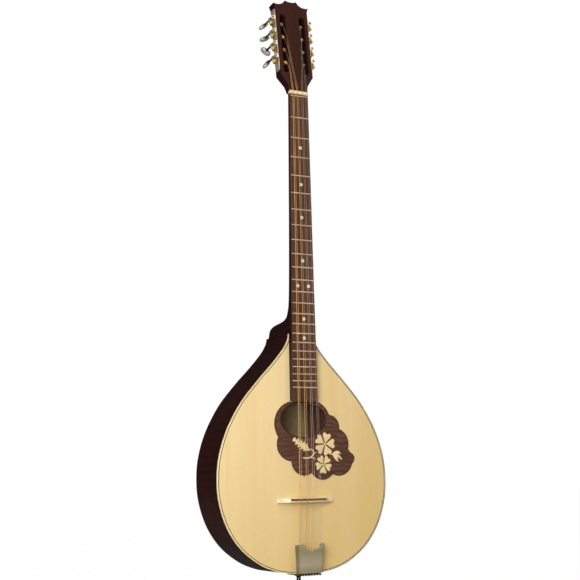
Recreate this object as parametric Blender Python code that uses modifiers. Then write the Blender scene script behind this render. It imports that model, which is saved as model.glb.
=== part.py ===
# Flat-backed, long-scale bouzouki with four double courses.
#
# Frame: +Z runs up the neck, the soundboard faces -Y, the bass side is -X.
# The origin is the centre of the end pin's outer flat face.
# Design coordinates used below, in millimetres:
#   x  across the instrument, treble positive
#   h  height in front of the soundboard's outer face (negative is inside the body)
#   z  along the string, 0 at the zero fret, negative towards the tail
# The headstock has its own coordinates: x, L along its face from the nut,
# d depth behind its face.
import bpy
import bmesh
from math import sin, cos, pi, radians, sqrt, atan2
from mathutils import Matrix, Vector

MM = 0.001
SCALE = 660.0            # string length, zero fret to saddle
FRETS = 23
Z_ZERO = 793.0           # zero fret above the end pin's outer face
Y_TOP = -27.0            # soundboard's outer face
GAP = 0.3                # clearance between neighbouring solids

TOP_T = 3.0              # soundboard thickness
BACK_T = 3.0
SIDE_T = 2.3
BIND_W = 2.2
Z_JOIN = -398.0          # where the body meets the heel
Z_TAIL = -778.0

NECK_LEAN = 0.00622      # the neck leans forward by this slope ...
Z_LEAN = -419.0          # ... about this station
FB_TOP = 9.5             # fingerboard top above the soundboard
FB_T = 5.0
FB_END = -508.0
FRET_H = 1.1

HEAD_TILT = radians(7.3)
HEAD_H = 11.2            # height of the headstock face where it meets the nut
HEAD_Z = 8.0
HEAD_T = 18.5            # headstock thickness with its veneer
VENEER_T = 1.2
HEAD_W = 30.4            # half width along the tuners
SLOT_X = 18.3
SLOT_W = 10.6
SLOT_L = (33.5, 141.0)
ROLLERS = (55.0, 78.7, 102.4, 126.1)
ROLLER_D = 7.7
ROLLER_R = 2.9
GEAR_R = 5.6
GEAR_X = (33.9, 36.9)
WORM_X = 35.4
WORM_R = 2.5
WORM_RISE = 8.4          # worm axis above its gear's axis

HOLE_C = (0.0, -536.0)   # oval soundhole
HOLE_A, HOLE_B = 40.5, 28.0

STRING_R = (0.52, 0.30, 0.38, 0.26, 0.21, 0.21, 0.15, 0.15)

# ---------------------------------------------------------------- set-up
for ob in list(bpy.data.objects):
    bpy.data.objects.remove(ob, do_unlink=True)

PARTS = bpy.data.collections.new("bouzouki")
CUTS = bpy.data.collections.new("cutters")
bpy.context.scene.collection.children.link(PARTS)
bpy.context.scene.collection.children.link(CUTS)


def material(name, rgb, rough, metal=0.0):
    m = bpy.data.materials.new(name)
    m.use_nodes = True
    b = m.node_tree.nodes["Principled BSDF"]
    b.inputs["Base Color"].default_value = (rgb[0], rgb[1], rgb[2], 1.0)
    b.inputs["Roughness"].default_value = rough
    b.inputs["Metallic"].default_value = metal
    m.diffuse_color = (rgb[0], rgb[1], rgb[2], 1.0)
    return m


SPRUCE = material("spruce", (0.80, 0.62, 0.32), 0.35)
DARKWOOD = material("dark_stained_wood", (0.035, 0.010, 0.008), 0.22)
REDWOOD = material("red_stained_veneer", (0.09, 0.022, 0.014), 0.25)
INNER = material("inner_wood", (0.36, 0.20, 0.10), 0.7)
WALNUT = material("walnut_veneer", (0.12, 0.065, 0.045), 0.3)
MAPLE = material("maple", (0.80, 0.58, 0.33), 0.4)
ROSEWOOD = material("rosewood", (0.06, 0.028, 0.016), 0.45)
BONE = material("bone", (0.85, 0.76, 0.60), 0.4)
NICKEL = material("nickel", (0.62, 0.60, 0.54), 0.25, 1.0)
STEEL = material("steel", (0.55, 0.53, 0.47), 0.3, 1.0)
BRASS = material("brass", (0.72, 0.52, 0.18), 0.3, 1.0)
BRONZE = material("bronze_wound", (0.55, 0.33, 0.17), 0.35, 1.0)
PAPER = material("paper", (0.22, 0.20, 0.12), 0.8)
BINDING = material("binding", (0.86, 0.72, 0.46), 0.35)


def W(x, h, z):
    """Design millimetres to world metres."""
    return Vector((x * MM, (Y_TOP - h) * MM, (Z_ZERO + z) * MM))


# local x -> X, local y -> z (up the string), local z -> h (to the front)
BODY_M = Matrix.Translation(W(0, 0, 0)) @ Matrix.Rotation(pi / 2, 4, 'X')
HEAD_M = (Matrix.Translation(W(0, HEAD_H, HEAD_Z))
          @ Matrix.Rotation(pi / 2 - HEAD_TILT, 4, 'X'))


def place(ob, mat, coll=PARTS):
    coll.objects.link(ob)
    if mat:
        ob.data.materials.clear()
        ob.data.materials.append(mat)
    if coll is CUTS:
        ob.hide_render = True
        ob.display_type = 'WIRE'
    return ob


def from_bm(name, bm, mat, M, coll=PARTS):
    me = bpy.data.meshes.new(name)
    bmesh.ops.recalc_face_normals(bm, faces=bm.faces[:])
    bm.to_mesh(me)
    bm.free()
    ob = bpy.data.objects.new(name, me)
    ob.matrix_world = M
    return place(ob, mat, coll)


def slab(name, outlines, z0, z1, mat, M=BODY_M, coll=PARTS):
    """A flat outline (and its holes) as a filled 2D curve, made a mesh.
    z0 < z1 are the two faces along the frame's third axis, in mm."""
    cu = bpy.data.curves.new(name, 'CURVE')
    cu.dimensions = '2D'
    cu.fill_mode = 'BOTH'
    cu.extrude = (z1 - z0) / 2 * MM
    for pts in outlines:
        sp = cu.splines.new('POLY')
        sp.points.add(len(pts) - 1)
        for p, q in zip(sp.points, pts):
            p.co = (q[0] * MM, q[1] * MM, 0, 1)
        sp.use_cyclic_u = True
    co = bpy.data.objects.new(name + "_curve", cu)
    bpy.context.scene.collection.objects.link(co)
    bpy.context.view_layer.update()
    me = bpy.data.meshes.new_from_object(co.evaluated_get(
        bpy.context.evaluated_depsgraph_get()))
    bpy.data.objects.remove(co, do_unlink=True)
    bpy.data.curves.remove(cu)
    bm = bmesh.new()
    bm.from_mesh(me)
    bpy.data.meshes.remove(me)
    bmesh.ops.remove_doubles(bm, verts=bm.verts[:], dist=1e-6)
    bmesh.ops.translate(bm, verts=bm.verts[:], vec=(0, 0, (z0 + z1) / 2 * MM))
    return from_bm(name, bm, mat, M, coll)


def block(name, a, b, mat=None, M=BODY_M, coll=PARTS):
    """Box between corners a and b, given as (x, along, out) in mm."""
    bm = bmesh.new()
    bmesh.ops.create_cube(bm, size=1.0)
    for v in bm.verts:
        for i in range(3):
            v.co[i] = (a[i] if v.co[i] < 0 else b[i]) * MM
    return from_bm(name, bm, mat, M, coll)


def rod(name, p, q, r, mat=None, M=BODY_M, coll=PARTS, seg=20, r2=None):
    """Cylinder or cone from p to q in mm."""
    p, q = Vector(p) * MM, Vector(q) * MM
    axis = q - p
    bm = bmesh.new()
    bmesh.ops.create_cone(bm, cap_ends=True, segments=seg, radius1=r * MM,
                          radius2=(r if r2 is None else r2) * MM,
                          depth=axis.length)
    T = Matrix.Translation((p + q) / 2) @ axis.to_track_quat('Z', 'Y').to_matrix().to_4x4()
    bmesh.ops.transform(bm, matrix=T, verts=bm.verts[:])
    return from_bm(name, bm, mat, M, coll)


def boolean(ob, other, op):
    m = ob.modifiers.new(op.lower(), 'BOOLEAN')
    m.operation = op
    m.solver = 'EXACT'
    m.object = other
    return ob


def cut(ob, other):
    return boolean(ob, other, 'DIFFERENCE')


def fuse(ob, other):
    return boolean(ob, other, 'UNION')


def join_bm(name, objs, coll=CUTS):
    """Several closed meshes as one operand for a Boolean."""
    bm = bmesh.new()
    M = objs[0].matrix_world.copy()
    for o in objs:
        tmp = o.data.copy()
        tmp.transform(M.inverted() @ o.matrix_world)
        bm.from_mesh(tmp)
        bpy.data.meshes.remove(tmp)
        bpy.data.objects.remove(o, do_unlink=True)
    return from_bm(name, bm, None, M, coll)


def smooth(ob, angle=35.0):
    ob.data.shade_smooth()
    ob.data.set_sharp_from_angle(angle=radians(angle))
    return ob


# ---------------------------------------------------------------- outline
# Stations of the teardrop's right half (x, z), from tail to heel.
STATIONS = ((0.0, -778.0), (33.0, -776.1), (60.5, -769.6), (86.4, -757.3),
            (114.8, -734.2), (136.2, -703.0), (148.9, -665.8), (152.2, -631.0),
            (148.4, -594.0), (134.8, -553.0), (110.5, -511.0), (80.5, -475.5),
            (52.5, -446.0), (33.5, -423.5), (24.6, -408.0), (22.6, -397.0))


def catmull(pts, n):
    out = []
    for i in range(len(pts) - 1):
        p0 = pts[i - 1] if i else (-pts[1][0], pts[1][1])
        p1, p2 = pts[i], pts[i + 1]
        p3 = pts[i + 2] if i + 2 < len(pts) else (2 * p2[0] - p1[0], 2 * p2[1] - p1[1])
        for k in range(n):
            t = k / n
            out.append(tuple(0.5 * (2 * b + (c - a) * t + (2 * a - 5 * b + 4 * c - d) * t * t
                                    + (3 * b - a - 3 * c + d) * t ** 3)
                             for a, b, c, d in zip(p0, p1, p2, p3)))
    out.append(pts[-1])
    return out


CURVE = catmull(STATIONS, 3)


def half_outline(inset=0.0, z_top=Z_JOIN, x_min=0.0, z_min=None):
    """Right half of the outline, moved inwards, from the tail up to z_top."""
    pts = []
    for i, (x, z) in enumerate(CURVE):
        a = CURVE[max(i - 1, 0)]
        b = CURVE[min(i + 1, len(CURVE) - 1)]
        tx, tz = b[0] - a[0], b[1] - a[1]
        if i == 0:
            tx, tz = 1.0, 0.0
        n = sqrt(tx * tx + tz * tz)
        pts.append((x - tz / n * inset, z + tx / n * inset))
    out = []
    for i, p in enumerate(pts):
        if p[1] >= z_top:
            q = pts[i - 1]
            t = (z_top - q[1]) / (p[1] - q[1])
            out.append((q[0] + (p[0] - q[0]) * t, z_top))
            break
        out.append(p)
    if x_min:
        k = next(i for i, p in enumerate(out) if p[0] > x_min)
        q, p = out[k - 1], out[k]
        t = (x_min - q[0]) / (p[0] - q[0])
        out = [(x_min, q[1] + (p[1] - q[1]) * t)] + out[k:]
    return out


def width_at(z, inset=0.0):
    pts = [p for p in half_outline(inset) if p[0] > 20]
    for a, b in zip(pts, pts[1:]):
        if a[1] <= z <= b[1]:
            return a[0] + (b[0] - a[0]) * (z - a[1]) / (b[1] - a[1])
    return pts[-1][0]


def mirror(pts):
    return [(-x, z) for x, z in reversed(pts)]


def full(inset, z_top):
    r = half_outline(inset, z_top)
    return r + mirror(r)[:-1]


# ---------------------------------------------------------------- back plane
# Depth of the back's outer face behind the soundboard, piecewise straight.
BACK = ((-390.0, 80.6), (-440.0, 86.0), (-480.0, 88.2), (-530.0, 86.6), (-790.0, 77.2))


def depth(z):
    for (z0, d0), (z1, d1) in zip(BACK, BACK[1:]):
        if z >= z1:
            return d0 + (d1 - d0) * (z - z0) / (z1 - z0)
    return BACK[-1][1]


D_NOM = 84.0


def follow_back(ob, both=False):
    """Splits a slab at the back's bends and lays its rear face (or both
    faces) on the back."""
    bm = bmesh.new()
    bm.from_mesh(ob.data)
    for z, _ in BACK[1:-1]:
        bmesh.ops.bisect_plane(bm, geom=bm.verts[:] + bm.edges[:] + bm.faces[:],
                               plane_co=(0, z * MM, 0), plane_no=(0, 1, 0), dist=1e-7)
    zs = [v.co.z for v in bm.verts]
    mid = (min(zs) + max(zs)) / 2
    for v in bm.verts:
        if both or v.co.z < mid:
            v.co.z -= (depth(v.co.y / MM) - D_NOM) * MM
    bm.to_mesh(ob.data)
    bm.free()
    return ob


def lean(ob):
    """Leans a neck piece, in body coordinates, by the neck's slope."""
    for v in ob.data.vertices:
        v.co.z += (v.co.y - Z_LEAN * MM) * NECK_LEAN
    return ob


# ---------------------------------------------------------------- body shell
IN = BIND_W + GAP
hole = [(HOLE_C[0] + HOLE_A * cos(t), HOLE_C[1] + HOLE_B * sin(t))
        for t in (2 * pi * k / 32 for k in range(32))]
soundboard = slab("soundboard", [full(IN, Z_JOIN - GAP), hole], -TOP_T, 0, SPRUCE)

outer = half_outline(0.0, Z_JOIN - GAP)
inner = half_outline(BIND_W, Z_JOIN - GAP)
ring = mirror(outer)[:-1] + outer + list(reversed(inner)) + list(reversed(mirror(inner)[:-1]))
slab("top_binding", [ring], -TOP_T, 0, BINDING)


def side(name, sign):
    o = half_outline(0.0, Z_JOIN - GAP, x_min=GAP / 2)
    i = half_outline(SIDE_T, Z_JOIN - GAP, x_min=GAP / 2)
    pts = [(sign * x, z) for x, z in o + list(reversed(i))]
    ob = slab(name, [pts], -(D_NOM - BACK_T - GAP), -(TOP_T + GAP), DARKWOOD)
    return follow_back(ob)


side_bass = side("side_bass", -1)
side_treble = side("side_treble", 1)
back = slab("back_plate", [full(0.0, Z_JOIN - GAP)], -D_NOM, -(D_NOM - BACK_T), DARKWOOD)
follow_back(back, both=True)

neck_block = follow_back(block("neck_block", (-18.5, -438.0, -(D_NOM - BACK_T - GAP)),
                               (18.5, Z_JOIN - 2 * GAP, -(TOP_T + GAP)), INNER))
tail_pts = half_outline(SIDE_T + GAP, Z_JOIN)
tail_in = [p for p in tail_pts if p[0] < 30.0 and p[1] < -700.0]
tail_poly = tail_in + [(30.0, -761.5), (-30.0, -761.5)] + mirror(tail_in)[:-1]
tail_block = follow_back(slab("tail_block", [tail_poly], -(D_NOM - BACK_T - GAP),
                              -(TOP_T + GAP), INNER))


def lining(name, sign, top):
    a, b = SIDE_T + GAP, SIDE_T + GAP + 5.0
    o = half_outline(a, -446.0, x_min=33.0)
    i = half_outline(b, -446.0, x_min=33.0)
    pts = [(sign * x, z) for x, z in o + list(reversed(i))]
    if top:
        return slab(name, [pts], -(TOP_T + GAP + 9.0), -(TOP_T + GAP), INNER)
    ob = slab(name, [pts], -(D_NOM - BACK_T - GAP), -(D_NOM - BACK_T - GAP - 9.0), INNER)
    return follow_back(ob, both=True)


lining("lining_top_bass", -1, True)
lining("lining_top_treble", 1, True)
lining("lining_back_bass", -1, False)
lining("lining_back_treble", 1, False)


def brace(name, z, top):
    w = min(width_at(z - 4.5, 8.2), width_at(z + 4.5, 8.2))
    if top:
        return block(name, (-w, z - 4.0, -(TOP_T + GAP + 13.0)), (w, z + 4.0, -(TOP_T + GAP)), INNER)
    ob = block(name, (-w, z - 4.0, -(D_NOM - BACK_T - GAP)), (w, z + 4.0, -(D_NOM - BACK_T - GAP - 12.0)), INNER)
    return follow_back(ob, both=True)


brace("brace_top_upper", -492.0, True)
brace("brace_top_middle", -580.0, True)
brace("brace_top_lower", -700.0, True)
brace("brace_back_upper", -462.0, False)
brace("brace_back_middle", -580.0, False)
brace("brace_back_lower", -700.0, False)
follow_back(block("label", (-6.0, -568.0, -(D_NOM - BACK_T - GAP)),
                  (50.0, -503.0, -(D_NOM - BACK_T - GAP - 0.3)), PAPER), both=True)

# ---------------------------------------------------------------- neck
NECK_TOP = FB_TOP - FB_T - GAP


def neck_half(z):
    """Half width of the fingerboard."""
    return 17.3 + 5.7 * (-z / 490.0)


# Stations of the neck and heel: z, depth below the neck's top, squareness.
NECK = ((8.2, 12.0, 1.7), (-10.0, 12.5, 1.6), (-60.0, 13.2, 1.6), (-130.0, 14.4, 1.65),
        (-200.0, 15.8, 1.7), (-270.0, 17.6, 1.8), (-325.0, 19.2, 1.95), (-352.0, 20.2, 2.3),
        (-365.0, 21.0, 3.4), (-370.0, 23.0, 4.4), (-373.5, 28.5, 5.6), (-376.0, 39.0, 6.8),
        (-378.2, 61.0, 7.8), (-381.0, 74.0, 8.8), (-386.0, 81.5, 10.0), (Z_JOIN, 84.6, 12.0))


def neck_section(z, b, n, k=22):
    a = min(neck_half(z), 22.4)
    pts = []
    for i in range(k + 1):
        t = pi * i / k
        c, s = cos(t), sin(t)
        x = a * (1 if c >= 0 else -1) * abs(c) ** (2.0 / n)
        pts.append((x, NECK_TOP - b * abs(s) ** (2.0 / n)))
    return pts


bm = bmesh.new()
rings = []
for z, b, n in NECK:
    rings.append([bm.verts.new((x * MM, z * MM, h * MM)) for x, h in neck_section(z, b, n)])
for r0, r1 in zip(rings, rings[1:]):
    m = len(r0)
    for i in range(m):
        j = (i + 1) % m
        bm.faces.new((r0[i], r0[j], r1[j], r1[i]))
bm.faces.new(rings[0])
bm.faces.new(rings[-1])
neck = lean(from_bm("neck", bm, DARKWOOD, BODY_M))
tongue = lean(block("neck_tongue", (-22.0, FB_END, 0.95), (22.0, Z_JOIN + 9.3, NECK_TOP - 0.05), M=BODY_M, coll=CUTS))
fuse(neck, tongue)
channel = lean(block("truss_channel", (-3.4, -390.0, NECK_TOP - 7.0), (3.4, -18.0, NECK_TOP + 2.0), coll=CUTS))
cut(neck, channel)
truss = lean(rod("truss_rod", (0, -388.0, NECK_TOP - 3.6), (0, -20.0, NECK_TOP - 3.6), 2.8, STEEL, seg=12))
smooth(neck)
smooth(truss)

# ---------------------------------------------------------------- fingerboard and frets


def fret_z(n):
    return -SCALE * (1 - 2 ** (-n / 12.0))


fb_outline = [(neck_half(3.2), 3.2), (neck_half(FB_END), FB_END),
              (-neck_half(FB_END), FB_END), (-neck_half(3.2), 3.2)]
tangs = [[(-3.0, fret_z(n) - 0.6), (3.0, fret_z(n) - 0.6), (3.0, fret_z(n) + 0.6), (-3.0, fret_z(n) + 0.6)]
         for n in range(FRETS + 1)]
fingerboard = slab("fingerboard", [fb_outline] + tangs, FB_TOP - FB_T, FB_TOP, ROSEWOOD)
groove = block("tang_groove", (-3.0, fret_z(FRETS) - 0.6, FB_TOP - FB_T - 1.0),
               (3.0, fret_z(0) + 0.6, FB_TOP - FB_T + 2.2), coll=CUTS)
lean(fingerboard)
lean(groove)
cut(fingerboard, groove)

spine = block("fret_set", (-2.6, fret_z(FRETS) - 0.3, FB_TOP - FB_T), (2.6, fret_z(0) + 0.3, FB_TOP - FB_T + 1.8), NICKEL)
bars = []
for n in range(FRETS + 1):
    z = fret_z(n)
    bars.append(block("tang", (-2.6, z - 0.3, FB_TOP - FB_T + 1.0), (2.6, z + 0.3, FB_TOP + GAP + 0.4), coll=CUTS))
tang_all = join_bm("fret_tangs", bars)
bars = []
for n in range(FRETS + 1):
    z = fret_z(n)
    w = neck_half(z) - 0.8
    c = block("crown", (-w, z - 1.15, FB_TOP + GAP), (w, z + 1.15, FB_TOP + FRET_H), coll=CUTS)
    for v in c.data.vertices:
        if v.co.z > (FB_TOP + 0.8) * MM:
            v.co.y = z * MM + (v.co.y - z * MM) * 0.45
    bars.append(c)
crown_all = join_bm("fret_crowns", bars)
for o in (spine, tang_all, crown_all):
    lean(o)
fuse(spine, tang_all)
fuse(spine, crown_all)

# the nut, a bone block behind the zero fret
nut = lean(block("nut", (-17.2, 3.5, NECK_TOP + GAP), (17.2, 8.0, FB_TOP + 0.9), BONE))

# ---------------------------------------------------------------- headstock
HALF_HEAD = ((17.4, -6.0), (17.8, 6.0), (19.2, 13.0), (HEAD_W, 30.0), (HEAD_W, 152.4), (32.0, 156.4), (32.9, 161.3),
             (28.2, 160.2), (23.4, 160.4), (18.3, 162.0), (13.8, 165.8), (10.2, 169.4),
             (5.0, 167.5), (0.0, 166.9))
head_outline = list(HALF_HEAD) + mirror(HALF_HEAD)[1:]


def slot(sign):
    r = SLOT_W / 2
    out = []
    for cz, a0 in ((SLOT_L[1] - r, 0.0), (SLOT_L[0] + r, pi)):
        for k in range(7):
            a = a0 + pi * k / 6
            out.append((sign * SLOT_X + r * cos(a), cz + r * sin(a)))
    return out


head = slab("headstock", [head_outline, slot(-1), slot(1)], -HEAD_T, -(VENEER_T + GAP), DARKWOOD, M=HEAD_M)
veneer = slab("headstock_veneer", [head_outline, slot(-1), slot(1)], -VENEER_T, 0, REDWOOD, M=HEAD_M)
end_cut = block("head_end_cut", (-40, -30.0, -40.0), (40, 8.5, 40.0), coll=CUTS)
cut(head, end_cut)
cut(veneer, end_cut)
bores = []
for L in ROLLERS:
    for s in (-1, 1):
        bores.append(rod("bore", (s * 8.5, L, -ROLLER_D), (s * 34.0, L, -ROLLER_D), ROLLER_R + 0.45,
                         M=HEAD_M, coll=CUTS, seg=10))
cut(head, join_bm("roller_bores", bores))

# ---------------------------------------------------------------- tuning machines


def tuner_plate(name, s):
    xs = sorted((s * 30.7, s * 31.9))
    p = block(name, (xs[0], 37.0, -13.9), (xs[1], 151.5, -1.5), NICKEL, M=HEAD_M)
    lugs = []
    lx = sorted((s * 31.5, s * 38.6))
    for L in ROLLERS:
        for d0, d1 in ((1.5, 3.3), (12.1, 13.9)):
            lugs.append(block("lug", (lx[0], L + WORM_RISE - 2.9, -d1), (lx[1], L + WORM_RISE + 2.9, -d0),
                              M=HEAD_M, coll=CUTS))
    fuse(p, join_bm(name + "_lugs", lugs))
    holes = []
    for L in ROLLERS:
        holes.append(rod("h", (s * 29.0, L, -ROLLER_D), (s * 33.0, L, -ROLLER_D), 2.7, M=HEAD_M, coll=CUTS, seg=10))
        holes.append(rod("h", (s * WORM_X, L + WORM_RISE, -20), (s * WORM_X, L + WORM_RISE, 4), 1.95,
                         M=HEAD_M, coll=CUTS, seg=10))
    cut(p, join_bm(name + "_holes", holes))
    return p


tuner_plate("tuner_plate_bass", -1)
tuner_plate("tuner_plate_treble", 1)


def turned(name, profile, M, mat, steps=16):
    """Profile (radius, along) in mm turned about the frame's local Z, the
    first point at the top of the outer side."""
    me = bpy.data.meshes.new(name)
    pts = [(r * MM, 0.0, a * MM) for r, a in profile]
    me.from_pydata(pts, [(i, i + 1) for i in range(len(pts) - 1)], [])
    ob = bpy.data.objects.new(name, me)
    ob.matrix_world = M
    place(ob, mat)
    sc = ob.modifiers.new("turn", 'SCREW')
    sc.axis = 'Z'
    sc.steps = steps
    sc.render_steps = steps
    sc.use_merge_vertices = True
    sc.merge_threshold = 1e-5
    return ob


# How each button was left turned, bass then treble, from the nut upwards.
TURNS = {-1: (50.0, -35.0, 20.0, 36.0), 1: (15.0, 70.0, -25.0, 40.0)}
BUTTON_D = 38.0
for s, side_name in ((-1, "bass"), (1, "treble")):
    for i, L in enumerate(ROLLERS):
        # roller and gear: axis along x, local Z points outwards
        org = HEAD_M @ Matrix.Translation(Vector((s * 20.0, L, -ROLLER_D)) * MM)
        M = org @ Matrix.Rotation(s * pi / 2, 4, 'Y')
        a = lambda x: x - 20.0
        prof = [(0.0, a(37.5)), (1.9, a(37.5)), (1.9, a(GEAR_X[1])), (GEAR_R, a(GEAR_X[1])), (GEAR_R, a(GEAR_X[0])),
                (2.15, a(GEAR_X[0])), (2.15, a(30.2)), (ROLLER_R, a(30.2)), (ROLLER_R, a(9.0)), (0.0, a(9.0))]
        smooth(turned("roller_%s_%d" % (side_name, i + 1), prof, M, BRASS, 12), 30)
        # worm, shaft and button: local Z points to the front of the head
        org = HEAD_M @ Matrix.Translation(Vector((s * WORM_X, L + WORM_RISE, 0)) * MM)
        prof = [(0.0, -0.7), (1.5, -0.7), (1.5, -3.6), (WORM_R, -3.6), (WORM_R, -11.8), (1.5, -11.8),
                (1.5, -15.0), (2.3, -15.0), (2.0, -24.0), (1.7, -35.5), (0.0, -35.5)]
        knob = turned("knob_%s_%d" % (side_name, i + 1), prof, org, NICKEL, 10)
        bmb = bmesh.new()
        bmesh.ops.create_uvsphere(bmb, u_segments=10, v_segments=6, radius=1.0)
        S = Matrix.Diagonal((9.3 * MM, 2.7 * MM, 6.4 * MM, 1.0))
        T = Matrix.Translation((0, 0, -BUTTON_D * MM)) @ Matrix.Rotation(radians(TURNS[s][i]), 4, 'Z') @ S
        bmesh.ops.transform(bmb, matrix=T, verts=bmb.verts[:])
        b = from_bm("button_%s_%d" % (side_name, i + 1), bmb, None, org, CUTS)
        fuse(knob, b)

# ---------------------------------------------------------------- pickguard and inlay
# Scalloped edge: the union of these lobes (x, z, radius), seen from PG_C.
LOBES = ((-16.0, -543.0, 36.0), (-21.5, -575.5, 26.8), (0.0, -602.5, 22.6), (33.5, -609.0, 23.2),
         (67.0, -598.0, 26.5), (57.5, -575.0, 25.2), (46.0, -548.5, 20.2), (14.0, -541.0, 36.0))
PG_C = (14.0, -570.0)


def lobed(n=84):
    out = []
    for k in range(n):
        a = 2 * pi * k / n
        dx, dz = cos(a), sin(a)
        best = 0.0
        for cx, cz, r in LOBES:
            ox, oz = cx - PG_C[0], cz - PG_C[1]
            b = ox * dx + oz * dz
            disc = b * b - (ox * ox + oz * oz - r * r)
            if disc > 0:
                best = max(best, b + sqrt(disc))
        z = PG_C[1] + best * dz
        x = PG_C[0] + best * dx
        if z > FB_END - 1.0:
            f = (FB_END - 1.0 - PG_C[1]) / (best * dz)
            x, z = PG_C[0] + best * dx * f, FB_END - 1.0
        out.append((x, z))
    return out


def petal_flower(c, R, base, k=5):
    pts = []
    for i in range(k):
        a0 = radians(base + 360.0 / k * i)
        for da, f in ((-35.9, 0.13), (-27.0, 0.62), (-21.0, 0.92), (-9.0, 1.0), (0.0, 0.94),
                      (9.0, 1.0), (21.0, 0.92), (27.0, 0.62)):
            a = a0 + radians(da)
            pts.append((c[0] + R * f * cos(a), c[1] + R * f * sin(a)))
    return pts


def grow(pts, d):
    """Mitred offset of a closed anticlockwise outline."""
    out = []
    n = len(pts)
    for i in range(n):
        a, b, c = pts[i - 1], pts[i], pts[(i + 1) % n]
        u = Vector((b[0] - a[0], b[1] - a[1])).normalized()
        v = Vector((c[0] - b[0], c[1] - b[1])).normalized()
        n1, n2 = Vector((u.y, -u.x)), Vector((v.y, -v.x))
        m = n1 + n2
        k = d / max(0.12, (1 + n1.dot(n2)))
        out.append((b[0] + m.x * k, b[1] + m.y * k))
    return out


def leaf(tip, base, w, teeth=4):
    """Serrated leaf from tip to base, anticlockwise."""
    t, b = Vector(tip), Vector(base)
    ax = b - t
    L = ax.length
    ax.normalize()
    nr = Vector((ax.y, -ax.x))

    def row(sgn):
        out = []
        for i in range(1, teeth + 1):
            f = i / (teeth + 1.0)
            half = w * sin(pi * min(1.0, f * 1.05)) ** 0.7
            p = t + ax * (L * (f - 0.06)) + nr * (sgn * half)
            q = t + ax * (L * (f + 0.05)) + nr * (sgn * half * 0.58)
            out += [tuple(p), tuple(q)]
        return out
    one = row(1)
    two = row(-1)
    return [tuple(t)] + one + [tuple(b)] + list(reversed(two))


def ribbon(path, w):
    """Outline of a narrow band along a path, anticlockwise or clockwise."""
    left, right = [], []
    for i, p in enumerate(path):
        a = Vector(path[max(i - 1, 0)])
        b = Vector(path[min(i + 1, len(path) - 1)])
        t = (b - a).normalized()
        n = Vector((t.y, -t.x)) * w
        left.append((p[0] + n.x, p[1] + n.y))
        right.append((p[0] - n.x, p[1] - n.y))
    return left + list(reversed(right))


def area(pts):
    return sum(a[0] * b[1] - b[0] * a[1] for a, b in zip(pts, pts[1:] + pts[:1])) / 2


def ccw(pts):
    return pts if area(pts) > 0 else list(reversed(pts))


PG0, PG1 = GAP, GAP + 0.7
flower_a = ccw(petal_flower((38.6, -575.3), 18.3, 74.0))
flower_b = ccw(petal_flower((35.3, -608.0), 14.4, 120.0))
leaf_pts = ccw(leaf((-18.7, -568.0), (10.5, -585.5), 6.4))
bud_pts = ccw([(51.6, -591.2), (54.5, -588.0), (61.0, -587.0), (60.5, -591.5), (68.0, -592.5), (64.0, -596.5),
               (69.0, -601.0), (62.0, -600.0), (59.5, -604.5), (55.5, -598.0), (52.0, -594.0)])
stems_a = [ribbon([(44.0, -589.4), (48.0, -591.6), (55.0, -592.8)], 0.8)]
stems_b = [ribbon([(8.0, -585.0), (13.0, -583.6), (16.6, -585.6), (17.4, -589.5), (15.6, -593.5), (12.0, -596.2),
                   (6.0, -597.4), (-1.7, -597.2)], 0.8),
           ribbon([(16.4, -592.0), (19.0, -590.2), (21.8, -588.7)], 0.7),
           ribbon([(11.0, -596.6), (15.0, -596.9), (20.0, -599.6)], 0.7)]
pick = slab("pickguard", [lobed(), [(HOLE_C[0] + (HOLE_A + 0.6) * cos(t), HOLE_C[1] + (HOLE_B + 0.6) * sin(t))
                                    for t in (2 * pi * k / 32 for k in range(32))]], PG0, PG1, WALNUT)


def inlay(name, shapes):
    ob = slab(name, [shapes[0]], PG0, PG1, MAPLE)
    for i, sh in enumerate(shapes[1:]):
        fuse(ob, slab("%s_piece_%d" % (name, i), [sh], PG0, PG1, None, coll=CUTS))
    for i, sh in enumerate(shapes):
        cut(pick, slab("%s_pocket_%d" % (name, i), [grow(ccw(sh), 0.3)], PG0 - 1, PG1 + 1, None, coll=CUTS))
        pick.modifiers[-1].solver = 'MANIFOLD'
    return ob


inlay("inlay_large_flower", [flower_a, bud_pts] + stems_a)
inlay("inlay_small_flower", [flower_b])
inlay("inlay_leaf_stem", [leaf_pts] + stems_b)

# ---------------------------------------------------------------- bridge
SADDLE_Z = (-664.2, -661.2)
front = [(-50.0, GAP), (-50.0, 3.2), (-44.0, 4.2), (-37.0, 6.6), (-32.5, 11.0), (-30.0, 12.4), (30.0, 12.4),
         (32.5, 11.0), (37.0, 6.6), (44.0, 4.2), (50.0, 3.2), (50.0, GAP), (24.0, GAP), (20.0, 2.6), (-20.0, 2.6),
         (-24.0, GAP)]
# the bridge's outline is drawn in x, h and is as deep as the foot along z
BRIDGE_M = Matrix.Translation(W(0, 0, 0)) @ Matrix(((1, 0, 0, 0), (0, -1, 0, 0), (0, 0, -1, 0), (0, 0, 0, 1)))
bridge = slab("bridge", [front], 659.2, 668.4, MAPLE, M=BRIDGE_M)
cut(bridge, block("saddle_slot", (-31.3, SADDLE_Z[0] - GAP, 8.4), (31.3, SADDLE_Z[1] + GAP, 20.0), coll=CUTS))
block("bridge_saddle", (-31.0, SADDLE_Z[0], 8.7), (31.0, SADDLE_Z[1], 15.2), ROSEWOOD)

# ---------------------------------------------------------------- tailpiece and end pin
PIN_H = Y_TOP            # the pin's axis lies at y = 0
TAIL_X = 2.0             # the tailpiece sits a little to the treble side
HOOKS = [TAIL_X - 17.5 + 5.0 * i for i in range(8)]
base_side = [(0.3, -753.0), (0.3, -778.5), (-41.0, -778.5), (-41.0, -779.7), (1.5, -779.7), (1.5, -753.0)]
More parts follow.
